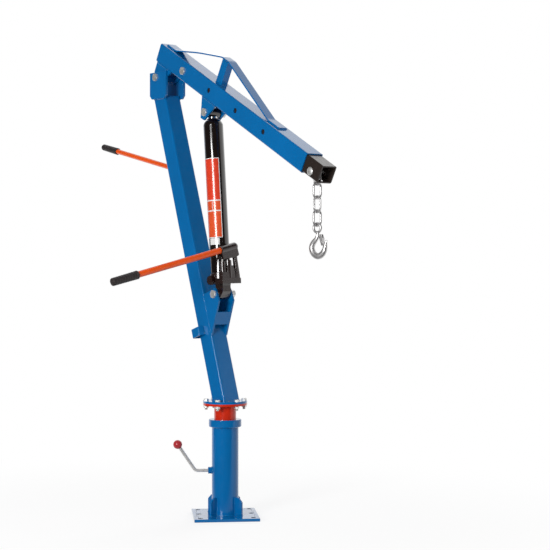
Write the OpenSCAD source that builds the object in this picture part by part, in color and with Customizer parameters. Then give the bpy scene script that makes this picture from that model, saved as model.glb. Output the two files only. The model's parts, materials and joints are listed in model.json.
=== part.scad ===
// Hydraulic swivel jib crane: bolted column, leaning mast, trussed boom with a telescopic
// extension, long-ram jack with a hand pump, chain and hook. Millimetres, +Z up.
// The origin is the centre of the base plate's underside. The boom and the mast lie in the
// XZ plane with the boom towards +X; the base plate is turned about Z under them.

/* [Base] */
// Side of the square base plate
plate_side = 260; // [240:5:320]
// Thickness of the base plate
plate_t = 12; // [8:1:20]
// Spacing of the anchor holes along and across the plate
anchor_grid = 210; // [190:5:220]
// Diameter of an anchor hole
anchor_d = 18; // [12:1:22]
// Angle of the base plate to the boom
base_turn = 57; // [0:1:90]
// Outer diameter of the column tube
column_d = 108; // [100:1:116]
// Wall of the column tube
column_wall = 5; // [3:0.5:6]
// Height of the column tube
column_h = 352; // [300:1:450]
// Radius to the outer edge of a gusset
gusset_reach = 89; // [80:1:110]
// Height of a gusset
gusset_h = 71; // [50:1:120]
// Thickness of a gusset
gusset_t = 8; // [5:1:12]
// Outer diameter of the collar on the column
collar_d = 132; // [122:1:144]
// Height of the collar
collar_h = 30; // [20:1:45]

/* [Brake] */
// Height of the brake screw above the base
brake_z = 188; // [150:1:260]
// Diameter of the brake rod
brake_rod_d = 14; // [8:1:16]
// Length of the level stretch of the brake rod outside the column
brake_out = 66; // [50:1:90]
// Length of the raised stretch of the brake rod
brake_up = 127; // [90:1:150]
// Angle of the raised stretch above level
brake_angle = 56; // [40:1:75]
// Diameter of the ball knob
knob_d = 36; // [25:1:45]

/* [Swivel] */
// Outer diameter of the swivel spigot
spigot_d = 89; // [78:1:94]
// Wall of the spigot
spigot_wall = 8; // [5:1:12]
// Length of spigot that shows between the collar and its flange
spigot_show = 57; // [40:1:80]
// Outer diameter of the two flanges
flange_d = 178; // [165:1:200]
// Thickness of each flange
flange_t = 9; // [8:1:16]
// Pitch circle of the flange bolts
flange_pcd = 154; // [145:1:160]

/* [Mast] */
// Side of the square mast tube
mast_side = 80; // [70:1:90]
// Wall of the mast tube
mast_wall = 4; // [3:0.5:6]
// Lean of the mast from upright
mast_lean = 18.3; // [15:0.1:21]
// Distance of the foot of the mast ahead of the swivel axis
mast_foot_x = 5; // [0:0.5:15]
// Distance of the mast's cut top below the boom hinge
mast_top_drop = 78; // [70:1:84]
// Distance of the boom hinge behind the swivel axis
hinge_back = 417.5; // [400:0.5:430]
// Height of the boom hinge
hinge_z = 1803; // [1790:1:1815]
// Thickness of the hinge cheeks
cheek_t = 10; // [8:1:12]
// Distance along the mast to the jack bolt
bracket_along = 415; // [380:1:440]
// Distance of the jack bolt from the middle of the mast
bracket_out = 109; // [98:1:120]
// Thickness of bracket, lug and root plates
lug_t = 8; // [6:1:10]

/* [Boom] */
// Side of the square boom tube
boom_side = 80; // [76:1:90]
// Wall of the boom tube
boom_wall = 4; // [3:0.5:4]
// Length of the boom tube
boom_len = 1080; // [1060:5:1150]
// Slope of the boom at rest, down from level
boom_slope = 28.3; // [26:0.1:30]
// Height of the boom's middle line over its hinge
boom_rise = 96; // [94:1:110]
// Length of boom behind its hinge
boom_tail = 45; // [40:1:60]
// Distance from the hinge to the first locking hole
lock_first = 157; // [140:1:165]
// Spacing of the locking holes
lock_pitch = 200; // [180:5:205]
// Distance from the hinge to the jack bolt, along the boom
lug_s = 375; // [368:1:380]
// Height of the jack bolt over the hinge, square to the boom
lug_h = 8; // [4:1:14]
// Width of the strap over the boom
strap_w = 40; // [30:1:50]
// Thickness of the strap
strap_t = 6; // [5:1:10]
// Height of the strap post
post_h = 100; // [80:1:120]

/* [Extension] */
// Side of the square extension tube
ext_side = 70; // [64:1:71]
// Wall of the extension tube
ext_wall = 5; // [3:0.5:6]
// Length of extension tube behind its locking hole
ext_tail = 41; // [30:1:60]
// Length of extension tube that shows when it is pushed in
ext_show = 98; // [90:1:120]
// Distance of the chain bolt from the end of the extension
chain_bolt_in = 55; // [50:1:60]
// Distance of the chain bolt below the middle of the extension
chain_bolt_drop = 13; // [8:1:16]

/* [Chain and hook] */
// Diameter of the chain bolt
chain_bolt_d = 12; // [10:1:13]
// Wire diameter of the chain
link_d = 8; // [6:0.5:9]
// Inner length of a chain link
link_pitch = 51.5; // [46:0.5:56]
// Inner width of a chain link
link_gap = 27; // [14:0.5:28]

/* [Bolts] */
// Diameter of the pivot and locking bolts
bolt_d = 20; // [14:1:20]
// Width across the flats of their heads
bolt_flats = 30; // [21:1:30]
// Diameter of their washers
washer_d = 36; // [30:1:38]

/* [Jack] */
// Outer diameter of the jack tube
jack_d = 80; // [76:1:86]
// Wall of the jack tube
jack_wall = 4; // [3:0.5:6]
// Diameter of the ram
ram_d = 40; // [34:1:46]
// Distance from the foot bolt to the underside of the base casting
jack_base_low = 45; // [40:1:55]
// Height of the base casting
jack_base_h = 40; // [34:1:50]
// Distance from the ram bolt down to the top of the gland
gland_drop = 26; // [24:1:40]
// Distance of the pump ahead of the jack's middle line
pump_x = 64; // [60:1:70]

/* [Handles] */
// Outer diameter of the steering handle's tube
handle_d = 22; // [18:1:26]
// Outer diameter of the pump handle's tube
pump_tube_d = 26; // [22:1:28]
// Distance from the fulcrum to the end of the pump handle's tube
pump_reach = 594; // [500:1:640]
// Distance from the mast to the end of the steering handle's tube
steer_reach = 562; // [480:1:620]
// Thickness of rubber over a handle's tube
grip_wall = 4; // [3:0.5:6]
// Length of a rubber grip
grip_len = 116; // [100:1:160]
// Droop of the pump handle at rest
pump_droop = 13.2; // [5:0.1:16]
// Rise of the steering handle
steer_rise = 12.4; // [5:0.1:20]
// Height of the steering handle's socket on the mast
steer_z = 1417; // [1300:1:1500]

/* [Hidden] */

blue = [0.05, 0.32, 0.62];
red = [0.82, 0.16, 0.08];
orange = [0.93, 0.36, 0.12];
black = [0.09, 0.08, 0.08];
zinc = [0.75, 0.75, 0.74];

// Clearances
run_gap = 0.3;      // between pieces that move on each other
seat_gap = 0.2;     // between round pieces that are fixed together
side_gap = 0.5;     // each side of a plate that swings in a fork

// Fineness of round shapes
$fn = 48;

// Heights of the swivel
collar_z = plate_t + column_h;
collar_top = collar_z + collar_h;
spigot_flange_z = collar_top + spigot_show;
mast_flange_z = spigot_flange_z + flange_t;
mast_foot_z = mast_flange_z + flange_t;
column_in = column_d - 2 * column_wall;
thrust_up = 106;
thrust_z = plate_t + thrust_up;
thrust_t = 12;

// Directions in the XZ plane
mast_up = [-sin(mast_lean), cos(mast_lean)];
mast_front = [cos(mast_lean), sin(mast_lean)];
boom_along = [cos(boom_slope), -sin(boom_slope)];
boom_up = [sin(boom_slope), cos(boom_slope)];
mast_half = mast_side / 2;
mast_half_x = mast_half / cos(mast_lean);
boom_half = boom_side / 2;
ext_half = ext_side / 2;

// Pivots as [x, z]
foot_point = [mast_foot_x, mast_foot_z];
hinge = [-hinge_back, hinge_z];
jack_foot = foot_point + bracket_along * mast_up + bracket_out * mast_front;
jack_top = hinge + lug_s * boom_along + lug_h * boom_up;
boom_low = boom_rise - boom_half;
boom_high = boom_rise + boom_half;
boom_front = boom_len - boom_tail;
ext_front = boom_front + ext_show;
ext_rear = lock_first - ext_tail;
mast_top_z = hinge_z - mast_top_drop;
chain_s = ext_front - chain_bolt_in;
chain_h = boom_rise - chain_bolt_drop;
chain_point = hinge + chain_s * boom_along + chain_h * boom_up;

// Jack lengths along its own line, from the foot bolt
jack_closed = norm(jack_top - jack_foot);
jack_lean = atan2(jack_foot[0] - jack_top[0], jack_top[1] - jack_foot[1]);
tube_low = jack_base_low + jack_base_h;
gland_top = jack_closed - gland_drop;
gland_h = 28;
tube_high = gland_top - gland_h;

// ---------- shared shapes ----------

// Flat plate in the XZ plane between two values of y
module side_plate(points, y0, y1) {
  rotate([90, 0, 0])
    translate([0, 0, -y1])
      linear_extrude(y1 - y0)
        polygon(points);
}

// Cylinder along +Y from y0 to y1 at [x, z]
module cross_rod(p, d, y0, y1, fn = 48) {
  translate([p[0], y0, p[1]])
    rotate([-90, 0, 0])
      cylinder(d = d, h = y1 - y0, $fn = fn);
}

// Hexagon prism along +Y from y0 to y1 at [x, z]
module cross_hex(p, flats, y0, y1) {
  cross_rod(p, flats / cos(30), y0, y1, 6);
}

// Frames of the boom, the mast and the jack
module at_boom() {
  translate([hinge[0], 0, hinge[1]])
    rotate([0, boom_slope, 0])
      children();
}
module at_mast() {
  translate([foot_point[0], 0, foot_point[1]])
    rotate([0, -mast_lean, 0])
      children();
}
module at_jack() {
  translate([jack_foot[0], 0, jack_foot[1]])
    rotate([0, -jack_lean, 0])
      children();
}
module at_base() {
  rotate([0, 0, base_turn])
    children();
}

// Square tube along X from x0 to x1, its middle line at height h
module square_tube(side, wall, x0, x1, h) {
  difference() {
    translate([x0, -side / 2, h - side / 2])
      cube([x1 - x0, side, side]);
    translate([x0 - 1, -side / 2 + wall, h - side / 2 + wall])
      cube([x1 - x0 + 2, side - 2 * wall, side - 2 * wall]);
  }
}

// Points of an arc that rounds the corner b between a and c
function unit(v) = v / norm(v);
function rounded_corner(a, b, c, r, n) =
  let (
    u = unit(a - b),
    v = unit(c - b),
    half = acos(u * v) / 2,
    t = r / tan(half),
    m = b + unit(u + v) * r / sin(half),
    p = b + u * t - m,
    q = b + v * t - m
  )
  [for (i = [0:n]) m + unit(p * (1 - i / n) + q * (i / n)) * r];

// Path with every inner corner rounded; r holds one radius for each point
function rounded_path(p, r, n) = [
  for (i = [0:len(p) - 1])
    each (
      i == 0 || i == len(p) - 1 ? [p[i]] : rounded_corner(p[i - 1], p[i], p[i + 1], r[i], n)
    )
];

// Sideways step at each point of a path, half a thickness long
function path_side(p, i, t) =
  let (
    a = p[max(i - 1, 0)],
    b = p[i],
    c = p[min(i + 1, len(p) - 1)],
    u = i == 0 ? unit(c - b) : unit(b - a),
    v = i == len(p) - 1 ? u : unit(c - b),
    w = unit(u + v)
  )
  [-w[1], w[0]] * t / 2 / (w * u);

// Outline of a strip of thickness t along a path
function strip(p, t) = concat(
  [for (i = [0:len(p) - 1]) p[i] + path_side(p, i, t)],
  [for (i = [len(p) - 1:-1:0]) p[i] - path_side(p, i, t)]
);

// Bolt along Y at [x, z] through a pack from -half to half: head and nut outside
head_h = 8;
nut_h = 16;
washer_t = 3;
bolt_end = 5;
module through_bolt(p, half, d, flats, washer) {
  cross_rod(p, d, -half - 1, half + washer_t + nut_h + bolt_end);
  cross_rod(p, washer, half, half + washer_t);
  cross_hex(p, flats, -half - head_h, -half);
  cross_hex(p, flats, half + washer_t, half + washer_t + nut_h);
}

// ---------- base ----------

module base_plate() {
  half = anchor_grid / 2;
  color(blue)
    at_base()
      difference() {
        translate([-plate_side / 2, -plate_side / 2, 0])
          cube([plate_side, plate_side, plate_t]);
        for (x = [-half, half], y = [-half, 0, half])
          translate([x, y, -1])
            cylinder(d = anchor_d, h = plate_t + 2);
      }
}

module column_tube() {
  color(blue)
    at_base()
      difference() {
        translate([0, 0, plate_t])
          cylinder(d = column_d, h = column_h, $fn = 72);
        translate([0, 0, plate_t - 1])
          cylinder(d = column_in, h = column_h + 2, $fn = 72);
        translate([0, 0, brake_z])
          rotate([0, -90, 0])
            cylinder(d = brake_rod_d + 2 * run_gap, h = column_d);
      }
}

gusset_edge_h = 54;
gusset_top_in = 17;
module gussets() {
  color(blue)
    at_base()
      for (a = [45:90:315])
        rotate([0, 0, a])
          intersection() {
            translate([0, 0, plate_t])
              side_plate([
                [0, 0], [gusset_reach, 0], [gusset_reach, gusset_edge_h],
                [gusset_reach - gusset_top_in, gusset_h], [0, gusset_h]
              ], -gusset_t / 2, gusset_t / 2);
            difference() {
              cylinder(r = gusset_reach + 10, h = plate_t + gusset_h + 10, $fn = 72);
              translate([0, 0, -1])
                cylinder(d = column_d, h = plate_t + gusset_h + 12, $fn = 72);
            }
          }
}

module column_collar() {
  edge = 2;
  color(blue)
    translate([0, 0, collar_z])
      rotate_extrude($fn = 72)
        polygon([
          [spigot_d / 2 + run_gap, 0], [collar_d / 2 - edge, 0], [collar_d / 2, edge],
          [collar_d / 2, collar_h - edge], [collar_d / 2 - edge, collar_h],
          [spigot_d / 2 + run_gap, collar_h]
        ]);
}

// Ring inside the column that carries the foot of the spigot
module thrust_ring() {
  color(zinc)
    translate([0, 0, thrust_z])
      difference() {
        cylinder(d = column_in - 2 * seat_gap, h = thrust_t, $fn = 72);
        translate([0, 0, -1])
          cylinder(d = spigot_d / 2, h = thrust_t + 2);
      }
}

// ---------- brake ----------

boss_d = 27;
boss_out = 15;
module brake_boss() {
  color(blue)
    at_base()
      difference() {
        translate([0, 0, brake_z])
          rotate([0, -90, 0])
            cylinder(d = boss_d, h = column_d / 2 + boss_out);
        translate([0, 0, brake_z])
          rotate([0, -90, 0])
            cylinder(d = brake_rod_d + 2 * run_gap, h = column_d);
        cylinder(d = column_d, h = brake_z + boss_d, $fn = 72);
      }
}

// Screw and lever of the brake: level through the boss, then raised to the knob
brake_bend_r = 20;
brake_bend_cut = brake_bend_r * tan(brake_angle / 2);
brake_bend_x = column_d / 2 + brake_out;
brake_tip_x = spigot_d / 2 + side_gap;
brake_start = [brake_bend_x - brake_bend_cut, 0];
brake_middle = brake_start + [0, brake_bend_r];
brake_end = brake_middle + brake_bend_r * [sin(brake_angle), -cos(brake_angle)];
brake_join = 0.5;   // overlap of the straights and the bend
brake_swell = 0.6;  // growth of the section in the bend
brake_straight = brake_up - brake_bend_cut - knob_d / 2 + 2;
knob_at = [brake_bend_x, 0] + brake_up * [cos(brake_angle), sin(brake_angle)];

// Frame with +X out of the column along the brake screw
module at_brake() {
  at_base()
    translate([0, 0, brake_z])
      rotate([0, 0, 180])
        children();
}

module brake_raised(d) {
  translate([brake_end[0], 0, brake_end[1]])
    rotate([0, 90 - brake_angle, 0])
      translate([0, 0, -brake_join])
        cylinder(d = d, h = brake_straight + brake_join);
}

module brake_rod() {
  color(zinc)
    at_brake() {
      translate([brake_tip_x, 0, 0])
        rotate([0, 90, 0])
          cylinder(d = brake_rod_d, h = brake_start[0] - brake_tip_x + brake_join);
      translate([brake_middle[0], 0, brake_middle[1]])
        rotate([90, 0, 0])
          rotate([0, 0, -90])
            rotate_extrude(angle = brake_angle)
              translate([brake_bend_r, 0])
                circle(d = brake_rod_d + brake_swell);
      brake_raised(brake_rod_d);
    }
}

module brake_knob() {
  color(red)
    at_brake()
      difference() {
        translate([knob_at[0], 0, knob_at[1]])
          sphere(d = knob_d);
        brake_raised(brake_rod_d);
      }
}

// ---------- swivel and mast ----------

flange_bolt_d = 12;
module flange_holes() {
  for (a = [0:60:300])
    rotate([0, 0, a])
      translate([flange_pcd / 2, 0, -1])
        cylinder(d = flange_bolt_d + 2 * seat_gap, h = flange_t + 2, $fn = 32);
}

module spigot() {
  color(red) {
    difference() {
      translate([0, 0, thrust_z + thrust_t + run_gap])
        cylinder(d = spigot_d, h = spigot_flange_z - thrust_z - thrust_t - run_gap, $fn = 72);
      translate([0, 0, thrust_z])
        cylinder(d = spigot_d - 2 * spigot_wall, h = spigot_flange_z, $fn = 72);
    }
    translate([0, 0, spigot_flange_z])
      difference() {
        cylinder(d = flange_d, h = flange_t, $fn = 96);
        translate([0, 0, -1])
          cylinder(d = spigot_d - 2 * spigot_wall, h = flange_t + 2, $fn = 72);
        flange_holes();
      }
  }
}

module mast_flange() {
  color(blue)
    translate([0, 0, mast_flange_z])
      difference() {
        cylinder(d = flange_d, h = flange_t, $fn = 96);
        flange_holes();
      }
}

flange_bolt_flats = 18;
module flange_bolts() {
  head = 8;
  nut = 10;
  thread = 8;
  color(zinc)
    for (a = [0:60:300])
      rotate([0, 0, a])
        translate([flange_pcd / 2, 0, spigot_flange_z]) {
          translate([0, 0, -nut - thread])
            cylinder(d = flange_bolt_d, h = 2 * flange_t + nut + thread + 1, $fn = 32);
          translate([0, 0, 2 * flange_t])
            cylinder(d = flange_bolt_flats / cos(30), h = head, $fn = 6);
          translate([0, 0, -nut])
            cylinder(d = flange_bolt_flats / cos(30), h = nut, $fn = 6);
        }
}

// Outline of the mast tube, or of its inside, between two heights
function mast_outline(half_x, z0, z1) = [
  [mast_x(z0) - half_x, z0], [mast_x(z0) + half_x, z0],
  [mast_x(z1) + half_x, z1], [mast_x(z1) - half_x, z1]
];
function mast_x(z) = mast_foot_x - (z - mast_foot_z) * tan(mast_lean);

module mast_tube() {
  in_half = mast_half - mast_wall;
  color(blue)
    difference() {
      side_plate(mast_outline(mast_half_x, mast_foot_z, mast_top_z), -mast_half, mast_half);
      side_plate(
        mast_outline(in_half / cos(mast_lean), mast_foot_z - 1, mast_top_z + 1),
        -in_half, in_half
      );
    }
}

// Cheeks of the boom hinge, welded outside the mast tube
cheek_back = 45;
cheek_ahead = 73;
cheek_over = 21;
cheek_under = 91;
cheek_corner = 14;
bolt_hole = bolt_d + 2 * run_gap;
module hinge_cheeks() {
  x0 = hinge[0] - cheek_back;
  x1 = hinge[0] + cheek_ahead;
  z0 = hinge[1] - cheek_under;
  z1 = hinge[1] + cheek_over;
  outline = [
    [x0, z1], [x0, z0 + cheek_corner], [x0 + cheek_corner, z0],
    [x1 - cheek_corner, z0], [x1, z0 + cheek_corner], [x1, z1]
  ];
  color(blue)
    for (y = [-mast_half - cheek_t, mast_half])
      difference() {
        side_plate(outline, y, y + cheek_t);
        cross_rod(hinge, bolt_hole, y - 1, y + cheek_t + 1);
      }
}

module hinge_bolt() {
  color(zinc)
    through_bolt(hinge, mast_half + cheek_t, bolt_d, bolt_flats, washer_d);
}

// Fork on the front of the mast that holds the jack's foot
bracket_top = 20;
bracket_nose = 23;
bracket_nose_low = 34;
bracket_bottom = 154;
web_t = 6;
web_from = 50;
web_to = 104;
module jack_bracket() {
  s1 = bracket_along + bracket_top;
  a = [bracket_out + bracket_nose, bracket_along - bracket_nose_low];
  b = [mast_half, bracket_along - bracket_bottom];
  outline = [[mast_half, s1], [bracket_out + bracket_nose - 8, s1], a, b];
  u = unit(b - a);
  inward = web_t * [u[1], -u[0]];
  p = a + web_from * u;
  q = a + web_to * u;
  in_half = mast_half - lug_t;
  color(blue)
    difference() {
      at_mast() {
        for (y = [-mast_half, in_half])
          side_plate(outline, y, y + lug_t);
        side_plate([p, q, q + inward, p + inward], -in_half, in_half);
      }
      cross_rod(jack_foot, bolt_hole, -mast_half - 1, mast_half + 1);
    }
}

module jack_foot_bolt() {
  color(zinc)
    through_bolt(jack_foot, mast_half, bolt_d, bolt_flats, washer_d);
}

// Bent strip round the rear corner of the mast that holds the spare handle
holder_t = 4;
holder_at = 276;
holder_h = 37;
holder_out = 24;
holder_back = 14;
module handle_holder() {
  x = -mast_half;
  y = -mast_half;
  path = rounded_path([
    [x + 40, y - holder_t / 2], [x + 34, y - holder_out], [x - holder_back, y - holder_out],
    [x - holder_back, y + 16], [x, y + 16]
  ], [6, 6, 6, 6, 6], 6);
  color(blue)
    at_mast()
      translate([0, 0, holder_at])
        linear_extrude(holder_h)
          difference() {
            polygon(strip(path, holder_t));
            translate([x, y])
              square(mast_side);
          }
}

// ---------- steering handle ----------

// Frame with +Z along the steering handle, at the rear face of the mast
steer_gap = 14;     // bare stud between the mast and the tube
steer_in = 60;      // stud inside the tube
tube_wall = 2.5;
stud_d = handle_d - 2 * tube_wall - 2 * seat_gap;
steer_start = [mast_x(steer_z) - mast_half_x, steer_z];
module at_steer() {
  translate([steer_start[0], 0, steer_start[1]])
    rotate([0, -90 + steer_rise, 0])
      children();
}

module steer_stud() {
  color(blue)
    difference() {
      at_steer()
        translate([0, 0, -20])
          cylinder(d = stud_d, h = 20 + steer_gap + steer_in);
      side_plate(mast_outline(mast_half_x, mast_foot_z, mast_top_z), -mast_half, mast_half);
    }
}

module steer_tube() {
  color(orange)
    at_steer()
      translate([0, 0, steer_gap])
        handle_tube(handle_d, steer_reach - steer_gap);
}

module steer_grip() {
  color(black)
    at_steer()
      translate([0, 0, steer_reach])
        grip(handle_d);
}

// Handle tube along +Z, and the tapered, ribbed grip over the tube's end at z = 0
module handle_tube(d, length) {
  difference() {
    cylinder(d = d, h = length);
    translate([0, 0, -1])
      cylinder(d = d - 2 * tube_wall, h = length + 2);
  }
}
grip_ribs = 9;
grip_cap = 4;
grip_taper = 1;
module grip(d) {
  r0 = d / 2 + seat_gap;
  r1 = d / 2 + grip_wall;
  rib = grip_len / grip_ribs;
  edge = [
    for (i = [0:grip_ribs - 1])
      let (z = -grip_len + i * rib, r = r1 - grip_taper * i / grip_ribs)
      each [[r - 0.8, z], [r, z + 2], [r, z + rib - 2], [r - 0.8, z + rib - 0.4]]
  ];
  rotate_extrude($fn = 40)
    polygon(concat(
      [[0, grip_cap], [0, seat_gap], [r0, seat_gap], [r0, -grip_len]],
      edge,
      [[r1 - grip_taper - 1, 1], [r1 - grip_taper - 4, grip_cap]]
    ));
}

// ---------- boom ----------

module boom_tube() {
  color(blue)
    at_boom()
      difference() {
        square_tube(boom_side, boom_wall, -boom_tail, boom_front, boom_rise);
        for (i = [0:3])
          cross_rod([lock_first + i * lock_pitch, boom_rise], bolt_d + 1,
            -boom_half - 1, boom_half + 1);
      }
}

// Plates under the root of the boom with the hinge sleeve between them
root_back = 36;
root_ahead = 79;
root_r = 28;
sleeve_d = 30;
module root_plates() {
  outer = boom_half - side_gap;
  outline = concat(
    [[root_ahead, boom_low], [-root_back, boom_low], [-root_back, 14]],
    [for (a = [200:20:320]) root_r * [cos(a), sin(a)]]
  );
  color(blue)
    at_boom()
      difference() {
        union() {
          for (y = [-outer, outer - lug_t])
            side_plate(outline, y, y + lug_t);
          cross_rod([0, 0], sleeve_d, -outer + lug_t, outer - lug_t);
        }
        cross_rod([0, 0], bolt_hole, -outer - 1, outer + 1);
      }
}

module lug_plates() {
  outline = [
    [lug_s - 48, boom_low], [lug_s - 16, lug_h - 32], [lug_s + 11, lug_h - 31],
    [lug_s + 51, boom_low]
  ];
  color(blue)
    at_boom()
      difference() {
        for (y = [-boom_half, boom_half - lug_t])
          side_plate(outline, y, y + lug_t);
        cross_rod([lug_s, lug_h], bolt_hole, -boom_half - 1, boom_half + 1);
      }
}

// The pivot of the ram is left open: each end of its bolt stops inside its own lug plate
module lug_bolts() {
  stub = boom_half - lug_t;
  p = [lug_s, lug_h];
  nut_at = boom_half + washer_t;
  color(zinc)
    at_boom() {
      cross_rod(p, bolt_d, -boom_half - 1, -stub);
      cross_hex(p, bolt_flats, -boom_half - head_h, -boom_half);
      cross_rod(p, bolt_d, stub, nut_at + nut_h + bolt_end);
      cross_rod(p, washer_d, boom_half, nut_at);
      cross_hex(p, bolt_flats, nut_at, nut_at + nut_h);
    }
}

// Flat strap bent over the post, its ends lying on the boom
post_s = 374;
post_len = 40;
post_w = 30;
strap_rear = -26;
strap_tab_rear = 66;
strap_front = 817;
strap_tab_front = 80;
strap_arch = 5;     // rise of the rear run over a straight line
module strap() {
  low = boom_high + strap_t / 2;
  high = boom_high + post_h + strap_t / 2;
  bend_rear = [strap_rear + strap_tab_rear, low];
  bend_post = [post_s - post_len / 2 - 4, high];
  arch = (bend_rear + bend_post) / 2 + [0, strap_arch];
  path = rounded_path([
    [strap_rear, low], bend_rear, arch, bend_post, [post_s + post_len / 2 + 4, high],
    [strap_front - strap_tab_front, low], [strap_front, low]
  ], [0, 60, 1200, 60, 60, 60, 0], 6);
  color(blue)
    at_boom()
      side_plate(strip(path, strap_t), -strap_w / 2, strap_w / 2);
}

module strap_post() {
  wall = 3;
  color(blue)
    at_boom()
      translate([post_s, 0, boom_high])
        difference() {
          translate([-post_len / 2, -post_w / 2, 0])
            cube([post_len, post_w, post_h - 3]);
          translate([-post_len / 2 + wall, -post_w / 2 + wall, -1])
            cube([post_len - 2 * wall, post_w - 2 * wall, post_h + 2]);
        }
}

module lock_bolt() {
  color(zinc)
    at_boom()
      through_bolt([lock_first, boom_rise], boom_half, bolt_d, bolt_flats, washer_d);
}

// ---------- extension ----------

// The locking hole runs out to the rear end, so that the tube leaves the bolt as it slides out
slot_w = 20;
slot_back = 42;
slot_ahead = 47;
module extension_tube() {
  color(black)
    at_boom()
      difference() {
        square_tube(ext_side, ext_wall, ext_rear, ext_front, boom_rise);
        cross_rod([lock_first, boom_rise], bolt_d + 1, -ext_half - 1, ext_half + 1);
        translate([ext_rear - 1, -ext_half - 1, boom_rise - (bolt_d + 1) / 2])
          cube([lock_first - ext_rear + 1, ext_side + 2, bolt_d + 1]);
        cross_rod([chain_s, chain_h], chain_bolt_d + 2 * seat_gap, -ext_half - 1, ext_half + 1);
        translate([chain_s - slot_back, -slot_w / 2, boom_rise - ext_half - 1])
          cube([slot_back + slot_ahead, slot_w, ext_wall + 2]);
      }
}

// Bolt with a round head on the near side and a nut on the far side
chain_head_d = 32;
chain_head_h = 6;
chain_nut_flats = 18;
module chain_bolt() {
  nut_at = ext_half + washer_t;
  color(zinc) {
    cross_rod(chain_point, chain_bolt_d, -ext_half - 1, nut_at + 10 + bolt_end);
    cross_rod(chain_point, chain_head_d, -ext_half - chain_head_h, -ext_half);
    cross_rod(chain_point, chain_head_d, ext_half, nut_at);
    cross_hex(chain_point, chain_nut_flats, nut_at, nut_at + 10);
  }
}

// ---------- chain and hook ----------

// Link hanging down from z = 0 at its inner top, in the XZ plane
module link() {
  bend = (link_gap + link_d) / 2;
  straight = link_pitch - link_gap;
  translate([0, 0, -link_gap / 2])
    rotate([90, 0, 0])
      rotate_extrude(angle = 180, $fn = 32)
        translate([bend, 0])
          circle(d = link_d, $fn = 20);
  translate([0, 0, -link_gap / 2 - straight])
    rotate([-90, 0, 0])
      rotate_extrude(angle = 180, $fn = 32)
        translate([bend, 0])
          circle(d = link_d, $fn = 20);
  for (x = [-bend, bend])
    translate([x, 0, -link_gap / 2 - straight])
      cylinder(d = link_d, h = straight, $fn = 20);
}

link_count = 4;
link_top = chain_point[1] + chain_bolt_d / 2 + run_gap;
link_step = link_pitch - run_gap;
module chain_links() {
  color(zinc)
    for (i = [0:link_count - 1])
      translate([chain_point[0], 0, link_top - i * link_step])
        rotate([0, 0, 90 * (i % 2)])
          link();
}

// Hook as rings swept along its own curve; each entry is [x, z, radius] from the eye's middle
hook_twist = 12;    // turn of the hook about its own upright line
eye_in = 23;
eye_wire = 10;
hook_top = link_top - link_count * link_step;
eye_z = hook_top - eye_in / 2;
hook_curve = [
  [1, -18.5, 6], [1.5, -27, 6.6], [-1, -35, 7.8], [-6, -43, 9], [-13, -50, 10.2],
  [-20, -58, 11], [-24.6, -68, 11.4], [-25.2, -79, 11.8], [-21, -90, 12.2],
  [-12, -99.5, 12.4], [0, -105, 12.4], [13, -103.5, 12.2], [24.5, -96, 11.8],
  [32.4, -85, 10.8], [36.2, -73, 9.2], [38.4, -62, 7.2], [41, -53, 4.8], [44, -45, 3]
];
hook_flat = 0.85;   // thickness of a section across the hook, as a share of its depth
ring_n = 12;
function ring(c, i) =
  let (
    a = c[max(i - 1, 0)],
    b = c[min(i + 1, len(c) - 1)],
    along = unit([b[0] - a[0], b[1] - a[1]]),
    across = [-along[1], along[0]],
    r = c[i][2]
  )
  [for (k = [0:ring_n - 1])
    let (g = 360 * k / ring_n)
    [c[i][0] + across[0] * r * cos(g), r * hook_flat * sin(g), c[i][1] + across[1] * r * cos(g)]];

module swept(c) {
  n = len(c);
  points = [for (i = [0:n - 1]) each ring(c, i)];
  sides = [for (i = [0:n - 2], k = [0:ring_n - 1])
    [i * ring_n + k, i * ring_n + (k + 1) % ring_n,
      (i + 1) * ring_n + (k + 1) % ring_n, (i + 1) * ring_n + k]];
  ends = [[for (k = [ring_n - 1:-1:0]) k], [for (k = [0:ring_n - 1]) (n - 1) * ring_n + k]];
  polyhedron(points = points, faces = concat(sides, ends));
}

module at_hook() {
  translate([chain_point[0], 0, eye_z])
    rotate([0, 0, hook_twist])
      children();
}

latch_x = 17;
latch_z = -28;
latch_pin_d = 8;
module hook() {
  color(zinc)
    at_hook() {
      rotate([90, 0, 0])
        rotate_extrude($fn = 40)
          translate([(eye_in + eye_wire) / 2, 0])
            circle(d = eye_wire, $fn = 20);
      swept(hook_curve);
      translate([latch_x, 0, latch_z])
        rotate([90, 0, 0])
          cylinder(d = latch_pin_d, h = 10, center = true, $fn = 20);
      translate([0, -5, latch_z - 3])
        cube([latch_x, 10, 6]);
    }
}

// Spring latch: two ears on the hook's boss and a tongue that closes on the tip
module hook_latch() {
  tip = [29, -66];
  color(zinc)
    at_hook()
      difference() {
        union() {
          for (y = [-7.3, 5.3])
            side_plate([
              [latch_x - 5, latch_z - 5], [latch_x - 1, latch_z + 5], [latch_x + 5, latch_z + 4],
              [latch_x + 11, latch_z - 12], tip, tip - [5, 0]
            ], y, y + 2);
          side_plate([
            [latch_x + 10, latch_z - 9], [latch_x + 7.6, latch_z - 8], tip - [3, 0], tip
          ], -5.3, 5.3);
        }
        cross_rod([latch_x, latch_z], 3.5, -10, 10, 20);
      }
}

// ---------- jack ----------

module jack_tube() {
  color(black)
    at_jack()
      difference() {
        translate([0, 0, tube_low])
          cylinder(d = jack_d, h = tube_high - tube_low, $fn = 72);
        translate([0, 0, tube_low - 1])
          cylinder(d = jack_d - 2 * jack_wall, h = tube_high - tube_low + 2, $fn = 72);
      }
}

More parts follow.
